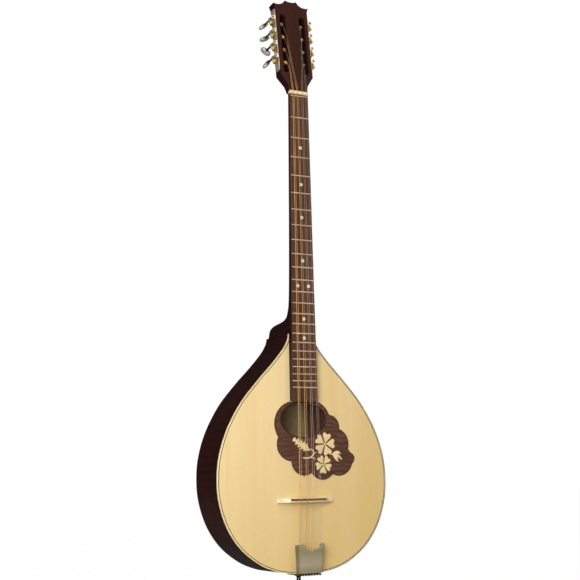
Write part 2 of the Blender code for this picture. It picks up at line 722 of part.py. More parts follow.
# the base's side view is drawn in h, z and is as wide as the base along x
SIDE_M = Matrix.Translation(W(0, 0, 0)) @ Matrix(((0, 0, 1, 0), (-1, 0, 0, 0), (0, 1, 0, 0), (0, 0, 0, 1)))
base = slab("tailpiece_base", [ccw(base_side)], TAIL_X - 20.0, TAIL_X + 20.0, NICKEL, M=SIDE_M)
pegs = [block("peg", (x - 0.9, -779.5, 0.8), (x + 0.9, -777.3, 6.6), coll=CUTS) for x in HOOKS]
fuse(base, join_bm("string_hooks", pegs))

lid_pts = [(-20.6, -776.7), (20.6, -776.7), (22.3, -731.8), (15.6, -731.0), (12.6, -738.2), (7.2, -739.6), (0.8, -744.2),
           (-7.4, -739.6), (-12.6, -738.2), (-15.6, -731.0), (-22.3, -731.8)]
lid = slab("tailpiece_cover", [[(x + TAIL_X, z) for x, z in lid_pts]], 0.0, 0.9, STEEL)
for v in lid.data.vertices:      # the face rises towards the bridge
    v.co.z += (12.0 + (v.co.y / MM + 776.7) / 45.5 * 5.0) * MM
for s in (-1, 1):
    fl = block("flange_%d" % s, (0, -776.7, 2.6), (1, -731.8, 3), coll=CUTS)
    for v in fl.data.vertices:
        z = v.co.y / MM
        t = (z + 776.7) / 44.9
        out_x = 20.6 + 1.7 * t
        v.co.x = (TAIL_X + s * (out_x - (0.9 if v.co.x < 0.5 * MM else 0.0))) * MM
        if v.co.z > 2.8 * MM:
            v.co.z = (12.5 + (z + 776.7) / 45.5 * 5.0) * MM
    bmf = bmesh.new()
    bmf.from_mesh(fl.data)
    bmesh.ops.recalc_face_normals(bmf, faces=bmf.faces[:])
    bmf.to_mesh(fl.data)
    bmf.free()
    fuse(lid, fl)

pin_prof = [(0.0, 0.0), (4.2, 0.0), (5.2, 1.2), (5.2, 2.6), (3.4, 4.4), (3.4, 9.4), (6.4, 11.0), (6.4, 13.0),
            (3.0, 13.0), (3.0, 28.0), (0.0, 28.0)]
# turned about Z upwards from the outer face; listed top first
pin_prof = list(reversed(pin_prof))
end_pin = smooth(turned("end_pin", pin_prof, Matrix.Identity(4), STEEL, 16), 30)
pin_hole = rod("pin_hole", (0, -794.5, PIN_H), (0, -762.0, PIN_H), 3.5, coll=CUTS, seg=16)
for ob in (base, side_bass, side_treble, tail_block):
    cut(ob, pin_hole)

# ---------------------------------------------------------------- strings
C_NUT = (-10.9, -2.4, 5.7, 13.3)
C_BRIDGE = (-15.2, -2.8, 8.8, 20.5)


def head_pt(x, L, d):
    return HEAD_M @ (Vector((x, L, -d)) * MM)


def slot_entry(x0, x1, L1, margin):
    """Where a string running from x0 at the nut to x1 at L1 enters its slot."""
    r = SLOT_W / 2 - margin
    L = 20.0
    while L < L1 - 4.0:
        x = abs(x0 + (x1 - x0) * L / L1)
        cz = min(max(L, SLOT_L[0] + SLOT_W / 2), SLOT_L[1] - SLOT_W / 2)
        if (x - SLOT_X) ** 2 + (L - cz) ** 2 < r * r:
            return L
        L += 0.25
    return L


ROLLER_X = {-1: (-14.6, -15.4, -16.0, -16.8), 1: (16.8, 17.2, 17.2, 17.2)}
for k in range(8):
    course, pair = divmod(k, 2)
    sg = -1 if k < 4 else 1
    x_n = C_NUT[course] + (-1.3, 1.3)[pair]
    x_b = C_BRIDGE[course] + (-1.7, 1.7)[pair]
    r = STRING_R[k]
    which = k if k < 4 else 7 - k
    xr = ROLLER_X[sg][which]
    L = ROLLERS[which]
    Le = slot_entry(x_n, xr, L, r + 0.45)
    nut_h = FB_TOP + 0.9 + (5.75 - Z_LEAN) * NECK_LEAN + GAP + r
    fret_h = FB_TOP + FRET_H + (0 - Z_LEAN) * NECK_LEAN + GAP + r
    pts = [W(HOOKS[k], 5.2, -776.4), W(x_b, 15.2 + GAP + r, -662.7), W(x_n, max(fret_h, nut_h), 0.0),
           W(x_n, nut_h, 5.75), head_pt(x_n + (xr - x_n) * Le / L, Le, -(0.45 + r)),
           head_pt(xr, L - 1.0, ROLLER_D - ROLLER_R - GAP - r)]
    cu = bpy.data.curves.new("string_%d" % (k + 1), 'CURVE')
    cu.dimensions = '3D'
    cu.bevel_depth = r * MM
    cu.bevel_resolution = 1
    cu.use_fill_caps = True
    sp = cu.splines.new('POLY')
    sp.points.add(len(pts) - 1)
    for p, q in zip(sp.points, pts):
        p.co = (q.x, q.y, q.z, 1)
    place(bpy.data.objects.new("string_%d" % (k + 1), cu), BRONZE if k < 4 else STEEL)
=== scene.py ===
# Looks of a long-necked, flat-backed bouzouki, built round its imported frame.
#
# It stands upright in its frame: X runs across (treble +), -Y is the front, +Z is the head end.
# Pieces are drawn in mm, with x across, y up the strings from the zero fret and z out of
# the soundboard. The headstock has the same axes, tilted back, from its own origin at the nut.
from math import sin, cos, asin, pi, radians, sqrt, hypot, exp

import bmesh
import bpy
from mathutils import Matrix, Vector


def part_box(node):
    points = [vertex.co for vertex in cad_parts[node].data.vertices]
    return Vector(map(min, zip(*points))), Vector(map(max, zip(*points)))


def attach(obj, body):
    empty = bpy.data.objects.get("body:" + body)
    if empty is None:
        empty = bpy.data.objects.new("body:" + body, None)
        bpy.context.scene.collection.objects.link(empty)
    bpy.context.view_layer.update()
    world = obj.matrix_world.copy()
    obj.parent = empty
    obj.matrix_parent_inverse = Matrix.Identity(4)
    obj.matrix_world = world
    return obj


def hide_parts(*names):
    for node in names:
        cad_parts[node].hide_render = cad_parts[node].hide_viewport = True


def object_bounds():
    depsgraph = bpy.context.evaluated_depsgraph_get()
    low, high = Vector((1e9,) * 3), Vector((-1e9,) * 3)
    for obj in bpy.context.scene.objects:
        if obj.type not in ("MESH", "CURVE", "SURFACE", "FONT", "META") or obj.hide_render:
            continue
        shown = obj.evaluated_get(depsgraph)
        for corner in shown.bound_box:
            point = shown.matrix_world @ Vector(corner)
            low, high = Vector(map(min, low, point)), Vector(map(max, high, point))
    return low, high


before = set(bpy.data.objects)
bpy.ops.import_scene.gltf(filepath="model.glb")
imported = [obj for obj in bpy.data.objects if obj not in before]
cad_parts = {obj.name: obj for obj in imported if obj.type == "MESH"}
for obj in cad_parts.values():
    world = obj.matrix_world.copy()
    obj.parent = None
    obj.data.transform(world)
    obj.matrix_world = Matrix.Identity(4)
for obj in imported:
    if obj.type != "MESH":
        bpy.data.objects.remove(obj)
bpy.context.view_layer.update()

SCENE = bpy.context.scene
SCENE.view_settings.view_transform = 'Standard'
SCENE.view_settings.look = 'None'

# ------------------------------------------------------------------ driving dimensions, mm
MM = 0.001
ROOT = "instrument"
FRONT_Y = round(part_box("soundboard")[0].y / MM, 2)         # frame Y of the soundboard's face
ZERO_FRET_Z = round(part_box("fret_set")[1].z / MM - 1.15, 1)
SCALE = 660.0                                              # string length
JOIN_Y = round(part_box("soundboard")[1].z / MM - ZERO_FRET_Z + 0.3, 1)
SHEET = 3.0                                                # soundboard and back
GAP = 0.05                                                 # clearance between body pieces
BINDING_W, PURFLING_W = 2.0, 0.95
HOLE_X, HOLE_Y, HOLE_A, HOLE_B = 0.0, -536.0, 40.5, 28.0   # oval soundhole: centre, half axes
LABEL_X, LABEL_Y, LABEL_HALF = 22.0, -535.5, (28.0, 32.5)

LEAN_Y, LEAN = -419.0, 0.00622                             # the neck rises above this point
BOARD_TOP, BOARD_T, BOARD_END = 9.5, 5.0, -508.0
BOARD_HEAD_END = 3.2
FRET_H, ZERO_FRET_EXTRA = 1.1, 0.25
NECK_TOP = BOARD_TOP - BOARD_T - 0.3
NUT_TOP = BOARD_TOP + 0.9

HEAD_TILT, HEAD_Z, HEAD_Y = radians(7.3), 11.2, 8.0
HEAD_HALF, HEAD_T, VENEER_T = 30.4, 18.5, 1.2
SLOT_X, SLOT_R, SLOT_ENDS = 18.3, 5.3, (33.5, 141.0)
ROLLER_YS, ROLLER_DEPTH = (55.0, 78.7, 102.4, 126.1), 7.7
BARREL_R = 2.86
WORM_X, WORM_RISE = 35.4, 8.4
GEAR_X = 20.0                                              # origin of each gear's profile

# strings 0 to 7 run from bass to treble in four pairs
STRING_R = (0.52, 0.30, 0.38, 0.26, 0.21, 0.21, 0.15, 0.15)
WOUND = 4                                                  # the first four are wound
NUT_PAIRS, NUT_SPLIT = (-10.9, -2.4, 5.7, 13.3), 1.3
SADDLE_PAIRS, SADDLE_SPLIT = (-15.2, -2.8, 8.8, 20.5), 1.7
NUT_XS = [x + side * NUT_SPLIT for x in NUT_PAIRS for side in (-1, 1)]
SADDLE_XS = [x + side * SADDLE_SPLIT for x in SADDLE_PAIRS for side in (-1, 1)]
SADDLE_TOP, SADDLE_HALF, SADDLE_NOTCH = 15.2, 31.0, 0.38
NOTCH_R = 0.6

GUARD_TOP = 0.95                                           # pickguard face
TAIL_X = 2.0                                               # the tailpiece sits off centre
COVER_BOTTOM, COVER_TOP = -776.7, -731.4
HOOK_XS = [TAIL_X - 17.5 + 5.0 * i for i in range(8)]


def shift(x, y, z):
    return Matrix.Translation(Vector((x, y, z)) * MM)


def turn(angle, axis):
    return Matrix.Rotation(angle, 4, axis)


BODY_M = shift(0, FRONT_Y, ZERO_FRET_Z) @ turn(pi / 2, 'X')
HEAD_M = shift(0, FRONT_Y - HEAD_Z, ZERO_FRET_Z + HEAD_Y) @ turn(pi / 2 - HEAD_TILT, 'X')
TAIL_M = BODY_M @ shift(TAIL_X, 0, 0)


# ------------------------------------------------------------------ node helpers
def rgb(*levels):
    """Linear colour from sRGB levels of 0 to 255."""
    return tuple((v / 255 / 12.92) if v <= 10 else ((v / 255 + 0.055) / 1.055) ** 2.4
                 for v in levels)


def scaled(color, factor):
    return tuple(v * factor for v in color)


class Nodes:
    """Wires a node tree. A socket given as a value is linked, anything else is set."""

    def __init__(self, tree):
        self.tree = tree

    def put(self, node, values):
        for key, value in values.items():
            socket = node.inputs[key]
            if isinstance(value, bpy.types.NodeSocket):
                self.tree.links.new(value, socket)
            elif socket.type == 'RGBA' and len(value) == 3:
                socket.default_value = (*value, 1.0)
            else:
                socket.default_value = value

    def new(self, kind, inputs=None, **settings):
        node = self.tree.nodes.new("ShaderNode" + kind)
        for key, value in settings.items():
            setattr(node, key, value)
        self.put(node, inputs or {})
        return node

    def math(self, operation, a, b=0.0):
        return self.new("Math", {0: a, 1: b}, operation=operation).outputs[0]

    def add(self, a, b):
        return self.math('ADD', a, b)

    def sub(self, a, b):
        return self.math('SUBTRACT', a, b)

    def mul(self, a, b):
        return self.math('MULTIPLY', a, b)

    def xyz(self, vector):
        return self.new("SeparateXYZ", {0: vector}).outputs

    def span(self, value, between, to=(0.0, 1.0)):
        inputs = dict(enumerate((value, *between, *to)))
        return self.new("MapRange", inputs, clamp=True).outputs[0]

    def mix(self, base, color, factor):
        return self.new("Mix", {0: factor, 6: base, 7: color}, data_type='RGBA').outputs[2]

    def blend(self, base, color, mask, between, strength=1.0):
        """Lays color over base as mask rises between two values."""
        return self.mix(base, color, self.span(mask, between, (0.0, strength)))


class Material(Nodes):
    """A Principled material textured in object space, in metres."""

    def __init__(self, name):
        self.material = bpy.data.materials.new(name)
        self.material.use_nodes = True
        super().__init__(self.material.node_tree)
        coords = self.new("TexCoord").outputs
        self.position, self.normal = coords["Object"], coords["Normal"]

    def stretched(self, stretch, rotation=(0, 0, 0)):
        inputs = {"Vector": self.position, "Scale": stretch, "Rotation": rotation}
        return self.new("Mapping", inputs).outputs["Vector"]

    def noise(self, stretch, detail=3.0, roughness=0.5, distortion=0.0, rotation=(0, 0, 0)):
        return self.new("TexNoise", {
            "Vector": self.stretched(stretch, rotation), "Scale": 1.0, "Detail": detail,
            "Roughness": roughness, "Distortion": distortion}).outputs["Fac"]

    def ramp(self, factor, stops):
        node = self.new("ValToRGB", {"Fac": factor})
        elements = node.color_ramp.elements
        while len(elements) < len(stops):
            elements.new(0.5)
        for element, (position, color) in zip(elements, stops):
            element.position = position
            element.color = (*color, 1.0)
        return node.outputs["Color"]

    def bump(self, height, strength, distance):
        inputs = {"Height": height, "Strength": strength, "Distance": distance}
        return self.new("Bump", inputs).outputs["Normal"]

    def finish(self, **inputs):
        values = {key.replace("_", " "): value for key, value in inputs.items()}
        self.put(self.tree.nodes["Principled BSDF"], values)
        return self.material


# ------------------------------------------------------------------ woods
def spruce():
    mat = Material("lacquered_spruce")
    x, y = mat.xyz(mat.position)[:2]
    sway = mat.noise(stretch=(9, 2.0, 9), detail=2)
    sway_width = 0.004
    seam = mat.math('ABSOLUTE', mat.add(x, mat.mul(mat.sub(sway, 0.5), sway_width)))
    # growth rings, about 1.1 mm apart at the seam and wider outwards
    ring_frequency, widening, sharpness = 5600.0, 1.6, 3.0
    phase = mat.mul(mat.sub(seam, mat.mul(mat.mul(seam, seam), widening)), ring_frequency)
    ring = mat.math('POWER', mat.span(mat.math('SINE', phase), between=(-1, 1)), sharpness)
    vary = mat.noise(stretch=(160, 3, 160), detail=3, roughness=0.6)
    late = mat.mul(ring, mat.span(vary, between=(0.3, 0.75), to=(0.1, 1.0)))
    fibre = mat.noise(stretch=(2200, 30, 2200), detail=2, roughness=0.6)
    silk = mat.noise(stretch=(60, 260, 60), detail=3, roughness=0.6, distortion=0.6,
                     rotation=(0, 0, 0.2))
    wide = mat.noise(stretch=(26, 0.7, 26), detail=2)
    color = mat.blend(rgb(241, 216, 164), rgb(235, 206, 149), wide, between=(0.3, 0.7))
    late_strength = 0.34
    color = mat.mix(color, rgb(196, 156, 92), factor=mat.mul(late, late_strength))
    color = mat.blend(color, rgb(205, 168, 104), fibre, between=(0.45, 0.8), strength=0.16)
    color = mat.blend(color, rgb(250, 232, 184), silk, between=(0.5, 0.8), strength=0.16)
    # painted shade: the colour turns darker and more golden towards the lower treble side, where
    # less light falls
    shade_start, shade_slope = 0.6, -1.2
    shade_ramp = mat.add(x, mat.mul(mat.add(y, shade_start), shade_slope))
    color = mat.blend(color, rgb(226, 193, 122), shade_ramp, between=(-0.15, 0.2), strength=0.6)
    # the edge of the hole is dark, out to this fraction of its half axes
    dark_reach = 1.018
    hole_x = mat.math('DIVIDE', mat.sub(x, HOLE_X * MM), HOLE_A * MM)
    hole_y = mat.math('DIVIDE', mat.sub(y, HOLE_Y * MM), HOLE_B * MM)
    radius = mat.math('SQRT', mat.add(mat.mul(hole_x, hole_x), mat.mul(hole_y, hole_y)))
    color = mat.mix(color, rgb(58, 34, 24), factor=mat.math('LESS_THAN', radius, dark_reach))
    late_relief, fibre_relief = -0.6, 0.35
    relief = mat.add(mat.mul(late, late_relief), mat.mul(fibre, fibre_relief))
    return mat.finish(
        Base_Color=color, Roughness=mat.span(fibre, between=(0.3, 0.8), to=(0.34, 0.44)),
        Coat_Weight=0.45, Coat_Roughness=0.10, Coat_IOR=1.45,
        Normal=mat.bump(relief, strength=0.10, distance=0.00012),
        Subsurface_Weight=0.06, Subsurface_Radius=(0.0012, 0.0008, 0.0004),
        Subsurface_Scale=1.0)


def binding():
    mat = Material("cream_binding")
    cloud = mat.noise(stretch=(500, 500, 500), detail=3)
    return mat.finish(
        Base_Color=mat.blend(rgb(246, 228, 178), rgb(238, 214, 158), cloud, between=(0.35, 0.7)),
        Roughness=0.3, Coat_Weight=0.5, Coat_Roughness=0.08,
        Normal=mat.bump(cloud, strength=0.05, distance=0.0001),
        Subsurface_Weight=0.15, Subsurface_Radius=(0.001, 0.0008, 0.0004))


def dark_wood(name, dark, middle, light, grain=(70, 2.2, 70), roughness=0.30, coat=0.12,
              figure=True, specular=0.12, bare_front=False):
    """Deep stain under lacquer, with pores and, if asked, figure."""
    mat = Material(name)
    streak = mat.noise(stretch=grain, detail=5, roughness=0.62, distortion=0.5)
    cloud = mat.noise(stretch=(9, 5, 9), detail=2)
    pore = mat.noise(stretch=scaled(grain, 14), detail=2, roughness=0.7)
    color = mat.blend(dark, middle, streak, between=(0.3, 0.72))
    color = mat.blend(color, light, cloud, between=(0.42, 0.75), strength=0.5)
    color = mat.blend(color, scaled(dark, 0.35), pore, between=(0.58, 0.75), strength=0.6)
    if figure:
        figure_strength = 0.28
        bands = mat.new("TexWave", {
            "Vector": mat.stretched((1, 1, 1)), "Scale": 26.0, "Distortion": 5.0,
            "Detail": 2.0, "Detail Scale": 1.6}, bands_direction='Y').outputs["Fac"]
        color = mat.mix(color, light, factor=mat.mul(bands, figure_strength))
    if bare_front:
        # the face turned towards the soundboard is unstained
        bare = mat.blend(rgb(112, 72, 50), rgb(132, 90, 64), streak, between=(0.3, 0.7))
        color = mat.blend(color, bare, mat.xyz(mat.normal)[2], between=(0.25, 0.45))
    pore_relief = -0.5
    relief = mat.add(mat.mul(pore, pore_relief), streak)
    return mat.finish(
        Base_Color=color, Coat_Weight=coat, Coat_Roughness=0.06, Coat_IOR=1.5,
        Roughness=mat.span(pore, between=(0.35, 0.75), to=(roughness, roughness + 0.12)),
        Normal=mat.bump(relief, strength=0.05, distance=0.00012), Specular_IOR_Level=specular)


def rosewood(name, tint=1.0, roughness=0.42):
    mat = Material(name)

    def tinted(*levels):
        return scaled(rgb(*levels), tint)

    streak = mat.noise(stretch=(130, 3.2, 130), detail=6, roughness=0.66, distortion=0.6)
    pore = mat.noise(stretch=(2600, 60, 2600), detail=2, roughness=0.6)
    wide = mat.noise(stretch=(30, 1.6, 30), detail=3, roughness=0.5)
    color = mat.ramp(streak, [(0.25, tinted(44, 24, 18)), (0.45, tinted(74, 42, 29)),
                              (0.6, tinted(92, 56, 40)), (0.8, tinted(60, 33, 24))])
    color = mat.blend(color, tinted(98, 60, 38), wide, between=(0.35, 0.7), strength=0.55)
    color = mat.blend(color, tinted(24, 13, 10), pore, between=(0.56, 0.72), strength=0.75)
    # painted shade: faces turned sideways are darker than the top
    sideways_shade = mat.math('ABSOLUTE', mat.xyz(mat.normal)[0])
    color = mat.blend(color, tinted(34, 15, 12), sideways_shade, between=(0.5, 0.8))
    relief = mat.mul(mat.span(pore, between=(0.5, 0.75)), -1.0)
    return mat.finish(
        Base_Color=color, Specular_IOR_Level=0.3,
        Roughness=mat.span(streak, between=(0.3, 0.7), to=(roughness, roughness + 0.14)),
        Normal=mat.bump(relief, strength=0.25, distance=0.00015))


def walnut():
    """Flamed walnut with wavy bands across the grain."""
    mat = Material("flamed_walnut")
    y = mat.xyz(mat.position)[1]
    drift = mat.noise(stretch=(16, 30, 16), detail=3, roughness=0.55)
    fine_drift = mat.noise(stretch=(45, 90, 45), detail=3, roughness=0.6)
    band_frequency, drift_angle, fine_angle = 900.0, 26.0, 7.0
    phase = mat.add(mat.mul(y, band_frequency),
                    mat.add(mat.mul(drift, drift_angle), mat.mul(fine_drift, fine_angle)))
    flame = mat.span(mat.math('SINE', phase), between=(-1, 1))
    fade = mat.span(mat.noise(stretch=(22, 40, 22), detail=2), between=(0.35, 0.7),
                    to=(0.25, 1.0))
    streak = mat.noise(stretch=(60, 900, 60), detail=4, roughness=0.65, distortion=0.3)
    pore = mat.noise(stretch=(700, 2600, 700), detail=2, roughness=0.6)
    color = mat.mix(rgb(80, 52, 40), rgb(116, 82, 62), factor=mat.mul(flame, fade))
    color = mat.blend(color, rgb(66, 42, 36), streak, between=(0.5, 0.78), strength=0.75)
    color = mat.blend(color, rgb(48, 30, 25), pore, between=(0.58, 0.75), strength=0.6)
    base_roughness, flame_roughness = 0.34, 0.10
    streak_relief, pore_relief = 0.4, -0.4
    relief = mat.add(mat.mul(streak, streak_relief), mat.mul(pore, pore_relief))
    return mat.finish(
        Base_Color=color, Roughness=mat.add(base_roughness, mat.mul(flame, flame_roughness)),
        Coat_Weight=0.1, Coat_Roughness=0.2, Specular_IOR_Level=0.2,
        Normal=mat.bump(relief, strength=0.08, distance=0.0001))


def maple(name, light, dark, grain=(40, 700, 40)):
    mat = Material(name)
    streak = mat.noise(stretch=grain, detail=4, roughness=0.6, distortion=0.3)
    fleck = mat.noise(stretch=(1500, 1500, 1500), detail=2)
    color = mat.blend(light, dark, streak, between=(0.3, 0.72))
    color = mat.blend(color, scaled(dark, 0.72), fleck, between=(0.55, 0.75), strength=0.3)
    return mat.finish(
        Base_Color=color, Roughness=0.38, Coat_Weight=0.3, Coat_Roughness=0.15,
        Normal=mat.bump(streak, strength=0.06, distance=0.0001),
        Subsurface_Weight=0.05, Subsurface_Radius=(0.001, 0.0007, 0.0004))


def bare_wood():
    mat = Material("bare_inner_wood")
    across = mat.noise(stretch=(260, 14, 14), detail=5, roughness=0.6)
    outward = mat.noise(stretch=(14, 14, 260), detail=4, roughness=0.6)
    color = mat.ramp(mat.mul(mat.add(across, outward), 0.5), [
        (0.3, rgb(186, 128, 88)), (0.5, rgb(214, 160, 112)), (0.7, rgb(196, 140, 96))])
    return mat.finish(Base_Color=color, Roughness=0.75,
                      Normal=mat.bump(across, strength=0.3, distance=0.0002))


# ------------------------------------------------------------------ metals and small parts
def uneven_roughness(mat, cloud, fine, low, high):
    fine_share = 0.12
    broad = mat.span(cloud, between=(0.3, 0.8), to=(low, high))
    return mat.add(broad, mat.mul(mat.sub(fine, 0.5), fine_share))


def metal(name, color, roughness, brush=(1800, 1800, 1800), tarnish=None, tarnished=0.3,
          metallic=1.0):
    mat = Material(name)
    cloud = mat.noise(stretch=(90, 90, 90), detail=4, roughness=0.6)
    fine = mat.noise(stretch=brush, detail=3, roughness=0.65)
    return mat.finish(
        Base_Color=mat.blend(color, tarnish or scaled(color, 0.6), cloud, between=(0.4, 0.75),
                             strength=tarnished),
        Metallic=metallic,
        Roughness=uneven_roughness(mat, cloud, fine, low=roughness - 0.05,
                                   high=roughness + 0.10),
        Normal=mat.bump(fine, strength=0.075, distance=0.00006))


def cover_steel():
    """Satin sheet with painted reflection: its colour shifts along the cover, and its bass side
    is darkened by painted shade.
    """
    mat = Material("satin_steel_cover_painted_light")
    y = mat.xyz(mat.position)[1]
    cloud = mat.noise(stretch=(70, 70, 70), detail=3, roughness=0.5)
    fine = mat.noise(stretch=(2600, 60, 2600), detail=3, roughness=0.65)
    # painted reflection: the colour ramp along the sheet lightens and darkens it in bands
    waver = 0.006
    along = mat.span(mat.add(y, mat.mul(mat.sub(cloud, 0.5), waver)),
                     between=(COVER_BOTTOM * MM, COVER_TOP * MM))
    color = mat.ramp(along, [
        (0.0, rgb(176, 174, 132)), (0.16, rgb(198, 190, 154)), (0.30, rgb(216, 202, 178)),
        (0.50, rgb(206, 194, 168)), (0.75, rgb(180, 176, 140)), (0.95, rgb(196, 190, 164))])
    # painted shade: the bend and flange on the bass side are darkened, which also mutes their
    # reflection
    bass_side_shade = mat.mul(mat.xyz(mat.normal)[0], -1.0)
    color = mat.blend(color, rgb(96, 80, 44), bass_side_shade, between=(0.12, 0.45), strength=0.62)
    return mat.finish(Base_Color=color, Metallic=0.75,
                      Roughness=uneven_roughness(mat, cloud, fine, low=0.54, high=0.64),
                      Normal=mat.bump(fine, strength=0.07, distance=0.00006))


def string_metal(name, color, roughness, pitch=None):
    """String wire; pitch is that of the winding, in metres."""
    mat = Material(name)
    cloud = mat.noise(stretch=(50, 20, 50), detail=3)
    shade = mat.blend(color, scaled(color, 0.72), cloud, between=(0.35, 0.7), strength=0.5)
    if pitch:
        y = mat.xyz(mat.position)[1]
        winding = mat.math('SINE', mat.mul(y, 2 * pi / pitch))
        # painted shade: the grooves between the windings are darkened
        groove_shade = mat.span(winding, between=(-1.0, -0.4), to=(0.4, 0.0))
        shade = mat.mix(shade, scaled(color, 0.25), factor=groove_shade)
        mat.finish(Normal=mat.bump(winding, strength=0.5, distance=0.00006))
    return mat.finish(Base_Color=shade, Metallic=1.0, Roughness=roughness)


def bone():
    mat = Material("polished_bone")
    streak = mat.noise(stretch=(600, 900, 200), detail=4, roughness=0.6)
    return mat.finish(
        Base_Color=mat.blend(rgb(238, 222, 186), rgb(222, 200, 158), streak,
                             between=(0.35, 0.7)),
        Roughness=0.32, Coat_Weight=0.3,
        Normal=mat.bump(streak, strength=0.06, distance=0.0001),
        Subsurface_Weight=0.2, Subsurface_Radius=(0.002, 0.0014, 0.0008))


def pearl():
    mat = Material("pearl_dot")
    swirl = mat.noise(stretch=(420, 420, 420), detail=3, roughness=0.5, distortion=1.2)
    color = mat.ramp(swirl, [(0.3, rgb(226, 224, 214)), (0.5, rgb(244, 238, 226)),
                             (0.7, rgb(214, 218, 214))])
    return mat.finish(Base_Color=color, Roughness=0.2, Coat_Weight=0.6, Coat_Roughness=0.05)


def paper():
    """Plain aged label: a soft border line and nothing written."""
    mat = Material("aged_label_paper")
    position = mat.xyz(mat.position)
    reach = mat.math('MAXIMUM', *(
        mat.math('DIVIDE', mat.math('ABSOLUTE', position[axis]), LABEL_HALF[axis] * MM)
        for axis in (0, 1)))
    line_start, line_end, line_strength = 0.86, 0.885, 0.7
    line = mat.mul(mat.math('GREATER_THAN', reach, line_start),
                   mat.math('LESS_THAN', reach, line_end))
    fibre = mat.noise(stretch=(700, 700, 700), detail=5, roughness=0.7)
    blot = mat.noise(stretch=(40, 40, 40), detail=3)
    color = mat.blend(rgb(206, 180, 130), rgb(186, 160, 108), blot, between=(0.35, 0.7))
    color = mat.blend(color, rgb(190, 160, 112), fibre, between=(0.5, 0.8), strength=0.35)
    color = mat.mix(color, rgb(84, 72, 46), factor=mat.mul(line, line_strength))
    return mat.finish(Base_Color=color, Roughness=0.85,
                      Normal=mat.bump(fibre, strength=0.3, distance=0.0001))


RIM_WOOD = dark_wood("dark_red_lacquer", rgb(31, 14, 11), rgb(44, 19, 15), rgb(56, 24, 18),
                     grain=(60, 4, 8), coat=0.03, specular=0.06)
NECK_WOOD = dark_wood("dark_red_neck", rgb(32, 14, 13), rgb(46, 20, 18), rgb(56, 25, 21),
                      grain=(90, 3, 90), figure=False, coat=0.04, specular=0.07)
BACK_WOOD = dark_wood("dark_red_back", rgb(42, 18, 16), rgb(62, 27, 22), rgb(80, 35, 27),
                      grain=(80, 2.4, 80), bare_front=True)
VENEER = dark_wood("red_head_veneer", rgb(44, 18, 16), rgb(64, 27, 23), rgb(72, 33, 27),
                   grain=(60, 2.6, 60), figure=False, coat=0.0, roughness=0.38,
                   specular=0.05)
SPRUCE = spruce()
BINDING = binding()
PURFLING = dark_wood("purfling_black", rgb(42, 32, 18), rgb(54, 42, 24), rgb(60, 46, 28),
                     figure=False, coat=0.05, specular=0.1)
ROSEWOOD = rosewood("rosewood_board")
rosewood("rosewood_dark", tint=0.55, roughness=0.35)       # a spare tone, on no piece
SADDLE_WOOD = rosewood("saddle_brown", tint=1.5, roughness=0.36)
WALNUT = walnut()
GUARD_EDGE = dark_wood("pickguard_edge", rgb(44, 26, 20), rgb(58, 36, 28), rgb(60, 38, 30),
                       figure=False, coat=0.3)
INLAY_MAPLE = maple("maple_inlay", rgb(240, 218, 166), rgb(228, 200, 142))
BRIDGE_MAPLE = maple("maple_bridge", rgb(250, 230, 194), rgb(238, 212, 168),
                     grain=(14, 260, 260))
BARE_WOOD = bare_wood()
BONE = bone()
PEARL = pearl()
PAPER = paper()
NICKEL = metal("nickel_plate", rgb(208, 194, 186), roughness=0.40, tarnished=0.4, metallic=0.6)
SHAFT = metal("dull_nickel_shaft", rgb(128, 124, 108), roughness=0.30, tarnished=0.4)
BUTTON = metal("satin_nickel_button", rgb(206, 206, 192), roughness=0.38, tarnished=0.25,
               metallic=0.45)
FRET_WIRE = metal("fret_wire", rgb(234, 220, 198), roughness=0.36, brush=(300, 6000, 300),
                  tarnished=0.15)
COVER_STEEL = cover_steel()
BASE_PLATE = metal("base_plate", rgb(170, 160, 138), roughness=0.32, tarnished=0.35)
PIN_CHROME = metal("dark_chrome", rgb(96, 96, 100), roughness=0.16)
HOOK_METAL = metal("dark_hooks", rgb(44, 42, 38), roughness=0.4, tarnished=0.4)
BRASS = metal("gear_brass", rgb(206, 184, 84), roughness=0.26, tarnished=0.5,
              tarnish=rgb(112, 98, 34), brush=(300, 2600, 2600))
CAP_BRASS = metal("brass_cap", rgb(226, 204, 130), roughness=0.42, tarnished=0.2, metallic=0.6)
SCREW = metal("nickel_screw", rgb(190, 186, 178), roughness=0.3, tarnished=0.4, metallic=0.75)
BARREL = metal("bronzed_barrel", rgb(96, 74, 48), roughness=0.35, tarnished=0.4)
PLAIN_STRING = string_metal("plain_steel_string", rgb(196, 182, 168), roughness=0.36)
WOUND_STRINGS = [
    string_metal("bronze_wound_%d" % i, rgb(228, 184, 128), roughness=0.42, pitch=pitch)
    for i, pitch in enumerate((0.00036, 0.00022, 0.00027, 0.0002))]
COIL_BRONZE = metal("bronze_coil", rgb(230, 184, 120), roughness=0.42)
COIL_STEEL = metal("steel_coil", rgb(240, 236, 226), roughness=0.34, tarnished=0.2)

# material and slot of each string's wire, and of its coil and end loop
WIRE_LOOKS = [(m, "bronze") for m in WOUND_STRINGS] + [(PLAIN_STRING, "steel")] * 4
COIL_LOOKS = [(COIL_BRONZE, "bronze")] * WOUND + [(COIL_STEEL, "steel")] * 4


# ------------------------------------------------------------------ objects
def place(name, bm, material, matrix):
    mesh = bpy.data.meshes.new(name)
    bm.to_mesh(mesh)
    bm.free()
    ob = bpy.data.objects.new(name, mesh)
    SCENE.collection.objects.link(ob)
    ob.matrix_world = matrix
    mesh.materials.append(material)
    mesh.shade_smooth()
    return ob


def register(ob, replaces=None, body=ROOT):
    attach(ob, body)
    if replaces:
        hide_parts(replaces)


